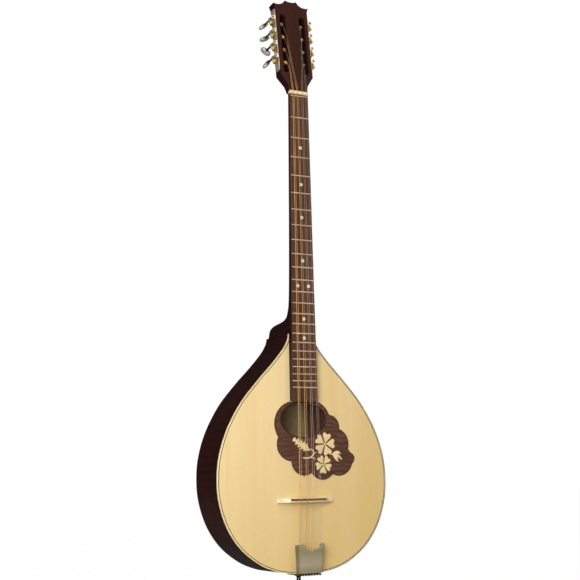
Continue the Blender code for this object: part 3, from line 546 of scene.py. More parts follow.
def add(name, bm, material, slot, replaces=None, matrix=BODY_M, body=ROOT, sharp=32.0,
        weighted=False):
    bmesh.ops.remove_doubles(bm, verts=bm.verts[:], dist=1e-7)
    bmesh.ops.recalc_face_normals(bm, faces=bm.faces[:])
    ob = place(name, bm, material, matrix)
    ob.data.set_sharp_from_angle(angle=radians(sharp))
    if weighted:
        modifier = ob.modifiers.new("wn", 'WEIGHTED_NORMAL')
        modifier.keep_sharp = True
        modifier.weight = 80
    register(ob, replaces, body)
    return ob


# ------------------------------------------------------------------ curves
def spline(padded, steps):
    """Catmull-Rom points between the second and the last but one of padded."""
    out = []
    for i in range(len(padded) - 3):
        for k in range(steps):
            t = k / steps
            out.append(tuple(
                0.5 * (2 * b + (c - a) * t + (2 * a - 5 * b + 4 * c - d) * t * t
                       + (3 * b - a - 3 * c + d) * t ** 3)
                for a, b, c, d in zip(*padded[i:i + 4])))
    return out


def beyond(end, inner):
    return (2 * end[0] - inner[0], 2 * end[1] - inner[1])


def open_curve(points, steps, before=None):
    first = before or beyond(points[0], points[1])
    padded = [first, *points, beyond(points[-1], points[-2])]
    return spline(padded, steps) + [tuple(points[-1])]


def closed_curve(points, steps):
    return spline([points[-1], *points, *points[:2]], steps)


def monotone(xs, ys, x):
    """Monotone cubic through a table sorted by rising x."""
    if x <= xs[0]:
        return ys[0]
    if x >= xs[-1]:
        return ys[-1]
    count = len(xs)
    gaps = [xs[i + 1] - xs[i] for i in range(count - 1)]
    rises = [(ys[i + 1] - ys[i]) / gaps[i] for i in range(count - 1)]
    slopes = [rises[0]] + [0.0] * (count - 2) + [rises[-1]]
    for i in range(1, count - 1):
        if rises[i - 1] * rises[i] > 0:
            before = 2 * gaps[i] + gaps[i - 1]
            after = gaps[i] + 2 * gaps[i - 1]
            slopes[i] = (before + after) / (before / rises[i - 1] + after / rises[i])
    i = max(k for k in range(count - 1) if xs[k] <= x)
    t = (x - xs[i]) / gaps[i]
    t2, t3 = t * t, t ** 3
    return ((2 * t3 - 3 * t2 + 1) * ys[i] + (t3 - 2 * t2 + t) * gaps[i] * slopes[i]
            + (-2 * t3 + 3 * t2) * ys[i + 1] + (t3 - t2) * gaps[i] * slopes[i + 1])


def signed_power(value, exponent):
    return (1 if value >= 0 else -1) * abs(value) ** exponent


def ellipse(center, a, b, count):
    return [(center[0] + a * cos(2 * pi * k / count), center[1] + b * sin(2 * pi * k / count))
            for k in range(count)]


def circle(center, radius, count=28):
    return ellipse(center, radius, radius, count)


def rectangle(half, low, high):
    return [(-half, low), (half, low), (half, high), (-half, high)]


def mirror(points):
    return [(-x, y) for x, y in reversed(points)]


def area(points):
    pairs = zip(points, points[1:] + points[:1])
    return sum(a[0] * b[1] - b[0] * a[1] for a, b in pairs) / 2


def offset_loop(points, distances):
    """Moves each point of a closed loop to the left of travel."""
    out = []
    for i, here in enumerate(points):
        last, after = points[i - 1], points[(i + 1) % len(points)]
        ux, uy = here[0] - last[0], here[1] - last[1]
        vx, vy = after[0] - here[0], after[1] - here[1]
        u_len, v_len = hypot(ux, uy) or 1e-9, hypot(vx, vy) or 1e-9
        n1 = (-uy / u_len, ux / u_len)
        n2 = (-vy / v_len, vx / v_len)
        step = distances[i] / max(0.35, 1.0 + n1[0] * n2[0] + n1[1] * n2[1])
        out.append((here[0] + (n1[0] + n2[0]) * step, here[1] + (n1[1] + n2[1]) * step))
    return out


# ------------------------------------------------------------------ meshes
def new_ring(bm, points):
    return [bm.verts.new([c * MM for c in p]) for p in points]


def join(bm, one, two):
    """Faces between two closed rings; a ring of one vertex is a pole."""
    count = max(len(one), len(two))
    for i in range(count):
        j = (i + 1) % count
        if len(one) == 1:
            bm.faces.new((one[0], two[i], two[j]))
        elif len(two) == 1:
            bm.faces.new((one[i], one[j], two[0]))
        else:
            bm.faces.new((one[i], one[j], two[j], two[i]))


def rounded_edge(loop, radius, face_z, inward, steps):
    """Rows from a flat face at face_z round to the wall."""
    radii = [radius(p) if callable(radius) else radius for p in loop]
    rows = []
    for k in range(steps + 1) if radius else (steps,):
        angle = pi / 2 * k / steps
        moved = offset_loop(loop, [r * (1 - sin(angle)) for r in radii])
        rows.append([(x, y, face_z + inward * (r * (1 - cos(angle))))
                     for (x, y), r in zip(moved, radii)])
    return rows


def plate(loops, bottom, top, top_round=0.0, bottom_round=0.0, steps=4, bm=None):
    """Flat plate. The first loop is the outside, the rest are holes; a rounding radius
    may be a function of the point."""
    bm = bm or bmesh.new()
    top_edges, bottom_edges = [], []
    for index, loop in enumerate(loops):
        if (area(loop) > 0) != (index == 0):
            loop = list(reversed(loop))
        rows = rounded_edge(loop, top_round, top, -1, steps)
        rows += reversed(rounded_edge(loop, bottom_round, bottom, 1, steps))
        rings = [new_ring(bm, row) for row in rows]
        follow = [(i, (i + 1) % len(loop)) for i in range(len(loop))]
        for upper, lower in zip(rings, rings[1:]):
            for i, j in follow:
                bm.faces.new((upper[i], lower[i], lower[j], upper[j]))
        for edges, ring in ((top_edges, rings[0]), (bottom_edges, rings[-1])):
            edges += [bm.edges.get((ring[i], ring[j])) for i, j in follow]
    for edges, facing in ((bottom_edges, -1), (top_edges, 1)):
        bmesh.ops.triangle_fill(bm, use_beauty=True, use_dissolve=False, edges=edges,
                                normal=(0, 0, facing))
    return bm


def loft(rows):
    """Closed sections joined in order and capped at both ends."""
    bm = bmesh.new()
    rings = [new_ring(bm, row) for row in rows]
    for one, two in zip(rings, rings[1:]):
        join(bm, one, two)
    bm.faces.new(rings[0])
    bm.faces.new(rings[-1])
    return bm


def revolve(profile, count=32, matrix=Matrix.Identity(4), bm=None, shape=None):
    """Turns (radius, along) about local Z; shape(angle, radius, along, row) may change
    the radius."""
    bm = bm or bmesh.new()
    previous = None
    for row, (radius, along) in enumerate(profile):
        if radius < 1e-6:
            ring = [bm.verts.new(matrix @ Vector((0, 0, along * MM)))]
        else:
            ring = []
            for k in range(count):
                angle = 2 * pi * k / count
                r = shape(angle, radius, along, row) if shape else radius
                point = Vector((r * cos(angle) * MM, r * sin(angle) * MM, along * MM))
                ring.append(bm.verts.new(matrix @ point))
        if previous:
            join(bm, previous, ring)
        previous = ring
    return bm


def tube(path, radius, count=10, bm=None, closed=False):
    """Round wire along a path; radius may be a list."""
    bm = bm or bmesh.new()
    points = [Vector(p) * MM for p in path]
    last = len(points) - 1
    rings = []
    normal = None
    for i, here in enumerate(points):
        before = points[i - 1] if (i or closed) else here
        after = points[(i + 1) % len(points)] if (i < last or closed) else here
        tangent = (after - before).normalized()
        if normal is None:
            normal = tangent.orthogonal().normalized()
        normal = (normal - tangent * normal.dot(tangent)).normalized()
        binormal = tangent.cross(normal)
        r = (radius[i] if isinstance(radius, list) else radius) * MM
        angles = [2 * pi * k / count for k in range(count)]
        rings.append([bm.verts.new(here + (normal * cos(a) + binormal * sin(a)) * r)
                      for a in angles])
    for one, two in zip(rings, rings[1:]):
        join(bm, one, two)
    if closed:
        join(bm, rings[-1], rings[0])
    else:
        bm.faces.new(rings[0])
        bm.faces.new(rings[-1])
    return bm


def bisect(bm, places, axis=1):
    normal = [float(axis == i) for i in range(3)]
    for at in places:
        point = [at * MM * n for n in normal]
        bmesh.ops.bisect_plane(bm, geom=bm.verts[:] + bm.edges[:] + bm.faces[:],
                               plane_co=point, plane_no=normal, dist=1e-8)


# ------------------------------------------------------------------ body
# treble half of the outline from the tail to the neck: x, y
STATIONS = (
    (0.0, -778.0), (33.0, -776.1), (60.5, -769.6), (86.4, -757.3),
    (114.8, -734.2), (136.2, -703.0), (148.9, -665.8), (152.2, -631.0),
    (148.4, -594.0), (134.8, -553.0), (110.5, -511.0), (80.5, -475.5),
    (52.5, -446.0), (33.5, -423.5), (24.6, -408.0), (22.6, -397.0))
OUTLINE = open_curve(STATIONS, 10, before=(-STATIONS[1][0], STATIONS[1][1]))


def half_outline(inset):
    """Treble half, moved inwards and cut square at the neck."""
    end = JOIN_Y - GAP
    moved = []
    for i, (x, y) in enumerate(OUTLINE):
        a, b = OUTLINE[max(i - 1, 0)], OUTLINE[min(i + 1, len(OUTLINE) - 1)]
        tx, ty = (1.0, 0.0) if i == 0 else (b[0] - a[0], b[1] - a[1])
        length = hypot(tx, ty)
        moved.append((x - ty / length * inset, y + tx / length * inset))
    out = []
    for i, (x, y) in enumerate(moved):
        if y >= end:
            last_x, last_y = moved[i - 1]
            t = (end - last_y) / (y - last_y)
            out.append((last_x + (x - last_x) * t, end))
            break
        out.append((x, y))
    return out


def full_outline(inset):
    half = half_outline(inset)
    return half + mirror(half)[:-1]


def body_depth(y):
    """Depth of the back's outer face behind the soundboard's face."""
    if y <= -530.0:
        return 86.6 - (-530.0 - y) * 9.4 / 260.0
    return monotone((-560.0, -530.0, -505.0, -480.0, -440.0, -390.0),
                    (85.52, 86.6, 87.6, 87.9, 86.0, 80.6), y)


def soundboard_round(point):
    at_hole = hypot(point[0] / HOLE_A, (point[1] - HOLE_Y) / HOLE_B) < 1.05
    return 0.5 if at_hole else 0.02


bm = plate([full_outline(BINDING_W + PURFLING_W), ellipse((HOLE_X, HOLE_Y), HOLE_A, HOLE_B, 96)],
           -SHEET, 0.0, top_round=soundboard_round, steps=3)
add("soundboard_spruce", bm, SPRUCE, "spruce", "soundboard", weighted=True)


def edge_band(outer_inset, inner_inset, bottom, top, top_round=0.0):
    """A band between two insets of the outline, open at the neck."""
    outer, inner = half_outline(outer_inset), half_outline(inner_inset)
    ring = (mirror(outer)[:-1] + outer + list(reversed(inner))
            + list(reversed(mirror(inner)[:-1])))
    return plate([ring], bottom, top, top_round=top_round)


add("edge_binding", edge_band(0.0, BINDING_W, -SHEET, 0.0, top_round=0.5), BINDING, "binding",
    "top_binding")

# painted shade: a dark strip along the treble edge of the binding, tapering at both ends,
# standing in for the shade at that edge
outer, inner = half_outline(0.0), half_outline(1.15)
count = len(outer)
if len(inner) == count:                  # the cut at the neck may leave unequal counts
    tapered = []
    for k in range(count):
        share = min(1.0, 0.05 + 10.0 * k / count, 0.05 + 14.0 * (count - 1 - k) / count)
        tapered.append(tuple(a + (b - a) * share for a, b in zip(outer[k], inner[k])))
    add("treble_edge_painted_shade", plate([outer + list(reversed(tapered))], -2.9, 0.04), PURFLING,
        "dark_wood")
add("purfling_line", edge_band(BINDING_W + 0.01, BINDING_W + PURFLING_W - 0.01, -2.5, 0.02),
    PURFLING, "dark_wood")


def rim(sign, thickness=2.3, steps=10):
    front = -SHEET - GAP
    bm = bmesh.new()
    rings = []
    for inset, outside in ((0.0, True), (thickness, False)):
        points = half_outline(inset)
        for k in range(steps + 1):
            share = k / steps if outside else 1 - k / steps
            rings.append(new_ring(bm, [
                (sign * max(x, 0.02), y,
                 front + (-(body_depth(y) - SHEET - GAP) - front) * share)
                for x, y in points]))
    for one, two in zip(rings, rings[1:] + rings[:1]):
        for i in range(len(one) - 1):
            bm.faces.new((one[i], one[i + 1], two[i + 1], two[i]))
    for end in (0, -1):
        bm.faces.new([ring[end] for ring in rings])
    return bm


add("rim_bass", rim(-1), RIM_WOOD, "dark_wood", "side_bass")
add("rim_treble", rim(1), RIM_WOOD, "dark_wood", "side_treble")

# the back is cut flat, then bent to the body's depth
FLAT_BACK = 84.0
bm = plate([full_outline(0.0)], -FLAT_BACK, -FLAT_BACK + SHEET, bottom_round=1.9, steps=5)
bisect(bm, [-400.0 - 6.0 * k for k in range(28)])
for v in bm.verts:
    v.co.z -= (body_depth(v.co.y / MM) - FLAT_BACK) * MM
add("back", bm, BACK_WOOD, "dark_wood", "back_plate", weighted=True)


def paint_frame_piece(name, material):
    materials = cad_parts[name].data.materials
    materials.clear()
    materials.append(material)


for name in (
        "neck_block", "tail_block", "lining_top_bass", "lining_top_treble", "lining_back_bass",
        "lining_back_treble", "brace_top_upper", "brace_top_middle", "brace_top_lower",
        "brace_back_upper", "brace_back_middle", "brace_back_lower"):
    paint_frame_piece(name, BARE_WOOD)
paint_frame_piece("truss_rod", metal("truss_steel", rgb(120, 118, 112), roughness=0.4))

# the label lies on the inner face of the back, under the soundhole
bm = plate([rectangle(LABEL_HALF[0], -LABEL_HALF[1], LABEL_HALF[1])], 0.0, 0.25)
bisect(bm, [-24, -16, -8, 0, 8, 16, 24])
for v in bm.verts:
    v.co.z -= (body_depth(v.co.y / MM + LABEL_Y) - SHEET - GAP) * MM
add("plain_label", bm, PAPER, "paper", "label", matrix=BODY_M @ shift(LABEL_X, LABEL_Y, 0))

# ------------------------------------------------------------------ neck and heel
# sections from the head to the body: y, depth below the board, exponent of the section
NECK = (
    (8.4, 12.0, 1.7), (-10.0, 12.5, 1.6), (-60.0, 13.2, 1.6), (-130.0, 14.4, 1.65),
    (-200.0, 15.8, 1.7), (-270.0, 17.6, 1.8), (-325.0, 19.2, 1.95), (-352.0, 20.2, 2.3),
    (-365.0, 21.0, 3.4), (-370.0, 23.0, 4.4), (-373.5, 28.5, 5.6), (-376.0, 39.0, 6.8),
    (-378.2, 61.0, 7.8), (-381.0, 74.0, 8.8), (-386.0, 81.5, 10.0), (JOIN_Y, 84.6, 12.0))
NECK_YS, NECK_DEPTHS, NECK_EXPONENTS = zip(*reversed(NECK))


def lean_z(y):
    return (y - LEAN_Y) * LEAN


def leaned(bm):
    for v in bm.verts:
        v.co.z += lean_z(v.co.y / MM) * MM
    return bm


def neck_half(y):
    return 17.3 + 5.7 * (-y / 490.0)


def neck_section(y, steps=44):
    depth = monotone(NECK_YS, NECK_DEPTHS, y) + 0.25
    power = 2.0 / monotone(NECK_YS, NECK_EXPONENTS, y)
    half = min(neck_half(y), 22.4) - 0.02
    angles = [pi * i / steps for i in range(steps + 1)]
    return [(half * signed_power(cos(a), power), y,
             NECK_TOP + 0.25 - depth * abs(sin(a)) ** power + lean_z(y)) for a in angles]


NECK_END = 8.3
ys = ([JOIN_Y + 0.02] + [JOIN_Y + 1.0 * k for k in range(1, 56)]
      + [JOIN_Y + 56 + 8 * k for k in range(43)] + [NECK_END])
ys = sorted(set(y for y in ys if y <= NECK_END))
add("neck_and_heel", loft([neck_section(y) for y in ys]), NECK_WOOD, "dark_wood", "neck",
    sharp=40)

# the tongue between the soundboard and the end of the fingerboard
bm = plate([rectangle(22.8, BOARD_END + 0.6, JOIN_Y)], 0.05, 1.0)
for v in bm.verts:
    if v.co.z > 0.5 * MM:
        v.co.z = (NECK_TOP + 0.22 + lean_z(v.co.y / MM)) * MM
add("board_tongue", bm, NECK_WOOD, "dark_wood")


# ------------------------------------------------------------------ fingerboard and frets
def fret_y(number):
    return -SCALE * (1 - 2 ** (-number / 12.0))


board = [(neck_half(y), y) for y in (BOARD_HEAD_END, BOARD_END)]
board += [(-x, y) for x, y in reversed(board)]
dots = []
for n in (3, 5, 7, 10, 12, 15, 17):
    middle = (fret_y(n) + fret_y(n - 1)) / 2
    dots += [(x, middle) for x in ((-9.2, 10.4) if n == 12 else (0.6,))]
bm = plate([board] + [circle(dot, 3.0) for dot in dots], BOARD_TOP - BOARD_T - 0.02, BOARD_TOP,
           top_round=lambda p: 0.0 if abs(p[0]) < 14 else 0.45, steps=3)
add("fingerboard_rosewood", leaned(bm), ROSEWOOD, "rosewood", "fingerboard", weighted=True)
for i, dot in enumerate(dots):
    bm = plate([circle(dot, 2.96)], BOARD_TOP - 1.2, BOARD_TOP + 0.04, top_round=0.12, steps=2)
    add("dot_%02d" % (i + 1), leaned(bm), PEARL, "bone")

# rounded fret end: fraction of the half width, fraction of the full height
FRET_TIP = ((1.0, 0.06), (0.992, 0.42), (0.98, 0.72), (0.962, 0.92), (0.935, 1.0))
FRET_ROWS = [(-x, fullness) for x, fullness in FRET_TIP] + list(reversed(FRET_TIP))
FRET_STEPS = 10
for n in range(24):
    y = fret_y(n)
    half = neck_half(y) - 0.95
    height = FRET_H if n else FRET_H + ZERO_FRET_EXTRA
    rows = []
    for across, fullness in FRET_ROWS:
        angles = [pi * j / FRET_STEPS for j in range(FRET_STEPS + 1)]
        rows.append([(half * across, y + 0.95 * cos(a) * (0.35 + 0.65 * fullness),
                      BOARD_TOP + 0.01 + height * fullness * sin(a)) for a in angles])
    fret = add("fret_%02d" % n, leaned(loft(rows)), FRET_WIRE, "nickel", sharp=60)
    if n == 0:
        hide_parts("fret_set")


# ------------------------------------------------------------------ nut
def notch_depth(x, string_xs, deepest):
    nearest = min(abs(x - string_x) for string_x in string_xs)
    return deepest * sqrt(max(0.0, 1 - (nearest / NOTCH_R) ** 2))


def end_drop(x, half, run, drop):
    """How far the top falls within run of either end."""
    inward = min(1.0, (half - abs(x)) / run)
    return drop * (1 - sqrt(max(0.0, 1 - (1 - inward) ** 2)))


NUT_HALF, NUT_FOOT = 17.2, 4.4
# section of the nut from the strings' side over to the head: y, z above NUT_TOP
NUT_PROFILE = ((3.3, 0.2), (3.55, 0.55), (4.1, 0.72), (5.9, 0.75), (8.4, 0.45), (9.2, -0.1),
               (9.4, -1.0))
xs = sorted(set(
    [-NUT_HALF, NUT_HALF]
    + [x + d for x in NUT_XS for d in (-0.62, -0.42, -0.21, 0.0, 0.21, 0.42, 0.62)]
    + [NUT_HALF * f for f in (-0.985, -0.96, -0.9, 0.9, 0.96, 0.985)]))
rows = []
for x in xs:
    fall = notch_depth(x, NUT_XS, 0.75) + end_drop(x, NUT_HALF, run=0.8, drop=0.6)
    rows.append([(x, NUT_PROFILE[0][0], NUT_FOOT)]
                + [(x, y, NUT_TOP + rise - fall) for y, rise in NUT_PROFILE]
                + [(x, NUT_PROFILE[-1][0], NUT_FOOT)])
add("nut_bone", leaned(loft(rows)), BONE, "bone", "nut", sharp=50)

# ------------------------------------------------------------------ headstock
# treble half of the outline from the nut to the middle of the crest: x, y
head_half = (
    open_curve([(17.35, 0.3), (17.7, 6.0), (19.0, 12.2), (21.0, 15.8)], 4)
    + open_curve([(29.6, 28.8), (30.2, 29.9), (HEAD_HALF, 31.6)], 4)
    + [(HEAD_HALF, 60.0 + 10 * k) for k in range(9)] + [(HEAD_HALF, 149.0)]
    + open_curve([(30.42, 151.6), (30.75, 153.2), (31.5, 155.4), (32.2, 158.0),
                  (32.85, 161.3)], 3)
    + open_curve([(32.85, 161.3), (30.6, 160.35), (27.8, 159.9), (24.8, 159.95),
                  (22.2, 160.35), (19.8, 161.05), (17.5, 162.0)], 4)[1:]
    + open_curve([(17.5, 162.0), (15.6, 163.2), (13.6, 165.1), (11.7, 167.6),
                  (10.2, 169.3)], 4)[1:]
    + open_curve([(10.2, 169.3), (8.4, 168.3), (6.0, 167.5), (3.0, 167.05),
                  (0.0, 166.9)], 4)[1:])
head_outline = head_half + mirror(head_half)[1:]


def slot_loop(sign, grow=0.0):
    radius = SLOT_R + grow
    out = []
    for center, start in ((SLOT_ENDS[1] - SLOT_R, 0.0), (SLOT_ENDS[0] + SLOT_R, pi)):
        for k in range(15):
            a = start + pi * k / 14
            out.append((sign * SLOT_X + radius * cos(a), center + radius * sin(a)))
    return out


def head_rear_round(point):
    x, y = point
    if abs(x) < 25 and 30 < y < 145:     # slot edges
        return 0.5
    return 9.5 * (1 - max(0.0, min(1.0, y / 30.0))) ** 1.5 + 1.3


head_loops = [head_outline, slot_loop(-1), slot_loop(1)]
bm = plate(head_loops, -HEAD_T, -VENEER_T - 0.02, bottom_round=head_rear_round, steps=6)
for sign in (-1, 1):                     # a narrow lip at the rear of each slot
    plate([slot_loop(sign, 0.03), slot_loop(sign, -1.0)], -HEAD_T + 0.55, -HEAD_T + 4.5,
          top_round=0.3, bottom_round=0.3, steps=3, bm=bm)
add("headstock_body", bm, NECK_WOOD, "dark_wood", "headstock", matrix=HEAD_M, sharp=38)
add("headstock_face", plate(head_loops, -VENEER_T, 0.0, top_round=0.55), VENEER, "red_veneer",
    "headstock_veneer", matrix=HEAD_M, weighted=True)


# ------------------------------------------------------------------ tuning machines
def add_screw(name, matrix, radius, height, slot_angle, material=SCREW, body=ROOT):
    """Slotted screw head: a rim and two crowned halves."""
    bm = revolve([(0.0, -0.4), (radius, -0.4), (radius, 0.12), (radius * 0.93, height * 0.45),
                  (radius * 0.3, height * 0.5), (0.0, height * 0.5)], 24)
    crown = radius * 0.9
    start = asin(0.13 * radius / crown)
    angles = [start + (pi - 2 * start) * k / 10 for k in range(11)]
    for side in (1, -1):
        half = [(crown * cos(a), side * crown * sin(a)) for a in angles]
        plate([half], height * 0.3, height, top_round=0.28 * radius, bm=bm)
    bm.transform(turn(slot_angle, 'Z'))
    add(name, bm, material, "nickel", matrix=matrix, body=body, sharp=40)


TEETH, TOOTH_ROOT, GEAR_MIDDLE = 14, 4.72, 15.4
WORM_PITCH = 2 * pi * 5.35 / TEETH
PLATE_FACES = (30.45, 31.8)              # inner and outer faces of a side plate, from centre
# rest angle of each button in degrees, and x where each string meets its barrel
BUTTON_TURNS = {-1: (50.0, -35.0, 20.0, 36.0), 1: (15.0, 70.0, -25.0, 40.0)}
BARREL_XS = {-1: (14.6, 15.4, 16.0, 16.8), 1: (16.8, 17.2, 17.2, 17.2)}
COIL_TURNS = (4.2, 6.0, 5.2, 6.2, 6.4, 6.2, 7.0, 7.0)
# local x runs up the head, y out of its face and z towards the treble side
SIDE_PLATE_M = HEAD_M @ Matrix(((0, 0, 1, 0), (1, 0, 0, 0), (0, 1, 0, 0), (0, 0, 0, 1)))

# turned profiles: radius, distance outwards from GEAR_X
GEAR = [(0.0, 17.35), (1.2, 17.35), (2.5, 17.3), (2.7, 17.1), (2.7, 16.95), (4.1, 16.85),
        (4.4, 16.98), (5.1, 16.9), (5.62, 16.55), (5.5, 16.0), (5.38, GEAR_MIDDLE),
        (5.5, 14.8), (5.62, 14.25), (5.1, 13.92), (4.4, 13.9), (2.2, 13.9), (2.2, 11.9),
        (0.0, 11.9)]
BARREL_PROFILE = [(0.0, 11.95), (2.0, 11.95), (2.0, 10.4), (2.75, 10.2), (2.9, 9.9),
                  (2.9, 4.2), (2.7, 4.0), (2.7, -7.4), (2.9, -7.6), (2.9, -10.4),
                  (2.6, -10.9), (0.0, -10.9)]
GEAR_CAP = [(0.0, 16.9), (3.5, 16.9), (3.6, 17.3), (3.5, 17.9), (3.15, 18.75), (2.5, 19.5),
            (1.6, 20.0), (0.0, 20.25)]
# worm and shaft: radius, distance out of the head's face
THREAD_STEPS = 46
WORM_TIP = [(0.0, -0.9), (1.1, -0.9), (1.5, -1.2), (1.5, -3.5)]
WORM = WORM_TIP + [(2.0, -3.55 - 8.2 * k / THREAD_STEPS) for k in range(THREAD_STEPS + 1)] + [
    (1.5, -11.85), (1.5, -14.6), (2.5, -14.8), (2.7, -15.2), (2.7, -16.0), (2.4, -16.5),
    (2.0, -17.4), (1.9, -20.0), (1.85, -25.0), (2.1, -29.0), (2.7, -31.6), (3.1, -33.2),
    (0.0, -34.2)]


def outward(sign, x, y):
    """On a roller's axis level, with local z pointing out of the head's side."""
    return HEAD_M @ shift(sign * x, y, -ROLLER_DEPTH) @ turn(sign * pi / 2, 'Y')


def unit(value):
    return min(1.0, max(0.0, value))


def gear_tooth(angle, radius, along, row):
    if radius < 4.9:
        return radius
    wave = cos(TEETH * (angle + 0.034 * (along - GEAR_MIDDLE)) + 0.6)
    return TOOTH_ROOT + (radius - TOOTH_ROOT) * unit(0.5 + 0.95 * wave)


def worm_thread(angle, radius, along, row):
    step = row - len(WORM_TIP)
    if not 0 <= step <= THREAD_STEPS:
        return radius
    wave = cos(2 * pi * along / WORM_PITCH - angle)
    fade = min(1.0, step / 3.0, (THREAD_STEPS - step) / 3.0)
    return 1.55 + fade * 1.0 * unit(0.5 + 0.85 * wave)


def button_mesh(degrees, around=40, rows=18):
    """A crowned kidney with a dip where the shaft enters."""
    half_w, half_l, half_t = 9.7, 6.9, 3.7
    matrix = shift(0, 0, -38.0) @ turn(radians(degrees), 'Z')
    bm = bmesh.new()
    previous = None
    for j in range(rows + 1):
        latitude = -pi / 2 + pi * j / rows
        points = []
        for i in range(around):
            angle = 2 * pi * i / around
            reach = (1.0 - 0.20 * exp(-((angle - pi / 2) / 0.42) ** 2)
                     - 0.05 * exp(-((angle - 3 * pi / 2) / 0.5) ** 2))
            reach *= abs(cos(latitude)) ** 0.62
            x = half_w * reach * signed_power(cos(angle), 0.86)
            y = half_t * signed_power(sin(latitude), 0.9) * (1 - 0.12 * (x / half_w) ** 2)
            z = half_l * reach * signed_power(sin(angle), 0.92)
            points.append((x, y, z))
        if j in (0, rows):
            points = [(0, points[0][1], 0)]
        ring = [bm.verts.new(matrix @ (Vector(p) * MM)) for p in points]
        if previous:
            join(bm, previous, ring)
        previous = ring
    return bm


def side_plate_mesh(sign):
    """Sheet with rounded corners and a hole behind each gear."""
    low, high, rear, front, radius = 37.0, 151.5, -13.9, -1.5, 3.0
    outline = []
    for x, y, start in ((high - radius, front - radius, 0), (low + radius, front - radius, 1),
                        (low + radius, rear + radius, 2), (high - radius, rear + radius, 3)):
        angles = [start * pi / 2 + pi / 2 * k / 6 for k in range(7)]
        outline += [(x + radius * cos(a), y + radius * sin(a)) for a in angles]
    bottom, top = sorted(sign * face for face in PLATE_FACES)
    return plate([outline] + [circle((y, -ROLLER_DEPTH), 2.7, 24) for y in ROLLER_YS],
                 bottom, top, top_round=0.4 if sign > 0 else 0.02,
                 bottom_round=0.4 if sign < 0 else 0.02, steps=3)


def lug_mesh(sign, y, near, far):
    """Lug round the worm shaft, between two depths behind the head's face."""
    radius = 3.3
    angles = [pi * k / 16 for k in range(17)]
    outline = ([(31.3, y - 4.1), (32.6, y - 3.5)]
               + [(WORM_X + radius * sin(a), y - radius * cos(a)) for a in angles]
               + [(32.6, y + 3.5), (31.3, y + 4.1)])
    outline = [(sign * x, along) for x, along in outline]
    return plate([outline, circle((sign * WORM_X, y), 1.9, 24)], -far, -near,
                 top_round=0.35, bottom_round=0.35, steps=3)


def coil_mesh(sign, index, string):
    """String wound on its barrel."""
    radius = STRING_R[string]
    center = BARREL_R + radius
    start = BARREL_XS[sign][index] - GEAR_X
    path = []
    for k in range(int(COIL_TURNS[string] * 26) + 1):
        a = 2 * pi * k / 26.0
        path.append((center * cos(-a), center * sin(-a), start + k / 26.0 * 2.08 * radius))
    bm = tube(path, radius, 8)
    bm.transform(turn(pi if sign > 0 else 0.0, 'Z'))
    return bm


def add_tuner(sign, side, index):
    y = ROLLER_YS[index]
    worm_y = y + WORM_RISE
    tag = "%s_%d" % (side, index + 1)
    for place_name, near, far in (("front", 1.6, 3.2), ("rear", 12.2, 13.8)):
        add("worm_lug_%s_%s" % (place_name, tag), lug_mesh(sign, worm_y, near, far), NICKEL,
            "nickel", matrix=HEAD_M, weighted=True)
    roller, knob = "roller_" + tag, "knob_" + tag
    on_roller = {"matrix": outward(sign, GEAR_X, y), "body": roller}
    add("gear_" + tag, revolve(GEAR, TEETH * 8, shape=gear_tooth), BRASS, "brass", roller,
        sharp=28, **on_roller)
    add("barrel_" + tag, revolve(BARREL_PROFILE, 28), BARREL, "brass", **on_roller)
    add("gear_cap_" + tag, revolve(GEAR_CAP), CAP_BRASS, "brass", sharp=50, **on_roller)
    add_screw("gear_screw_" + tag, on_roller["matrix"] @ shift(0, 0, 19.7), radius=1.5,
              height=1.5, slot_angle=0.5 + 1.3 * index, material=CAP_BRASS, body=roller)
    string = index if sign < 0 else 7 - index
    add("coil_" + tag, coil_mesh(sign, index, string), *COIL_LOOKS[string], **on_roller)
    on_knob = {"matrix": HEAD_M @ shift(sign * WORM_X, worm_y, 0), "body": knob}
    add("worm_shaft_" + tag, revolve(WORM, 26, shape=worm_thread), SHAFT, "nickel", sharp=50,
        **on_knob)
    add("button_" + tag, button_mesh(BUTTON_TURNS[sign][index]), BUTTON, "nickel", knob,
        sharp=60, **on_knob)


for sign, side in ((-1, "bass"), (1, "treble")):
    add("tuner_plate_%s_sheet" % side, side_plate_mesh(sign), NICKEL, "nickel",
        "tuner_plate_%s" % side, matrix=SIDE_PLATE_M, weighted=True)
    for i in range(len(ROLLER_YS)):
        add_tuner(sign, side, i)
    for i, y in enumerate((43.2, 145.6)):
        add_screw("plate_screw_%s_%d" % (side, i + 1), outward(sign, PLATE_FACES[1], y),
                  radius=2.4, height=1.2, slot_angle=0.7 + i)

# ------------------------------------------------------------------ pickguard
# the outline is the outer envelope of these circles round a centre: x, y, radius
GUARD_LOBES = (
    (-16.0, -543.0, 36.0), (-21.5, -575.5, 26.8), (0.0, -602.5, 22.6), (33.5, -609.0, 23.2),
    (64.0, -601.5, 24.8), (84.3, -598.8, 9.0), (79.0, -599.5, 12.5), (57.5, -575.0, 25.2),
    (46.0, -548.5, 20.2), (14.0, -541.0, 36.0))
GUARD_X, GUARD_Y = 14.0, -570.0


def guard_outline(inset=0.0, count=420):
    limit = BOARD_END - 0.2 - inset
    out = []
    for k in range(count):
        dx, dy = cos(2 * pi * k / count), sin(2 * pi * k / count)
        reach = 0.0
        for lobe_x, lobe_y, radius in GUARD_LOBES:
            ox, oy = lobe_x - GUARD_X, lobe_y - GUARD_Y
            along = ox * dx + oy * dy
            square = along * along - (ox * ox + oy * oy - (radius - inset) ** 2)
            if square > 0:
                reach = max(reach, along + sqrt(square))
        x, y = GUARD_X + reach * dx, GUARD_Y + reach * dy
        if y > limit:
            share = (limit - GUARD_Y) / (reach * dy)
            x, y = GUARD_X + reach * dx * share, limit
        out.append((x, y))
    return out


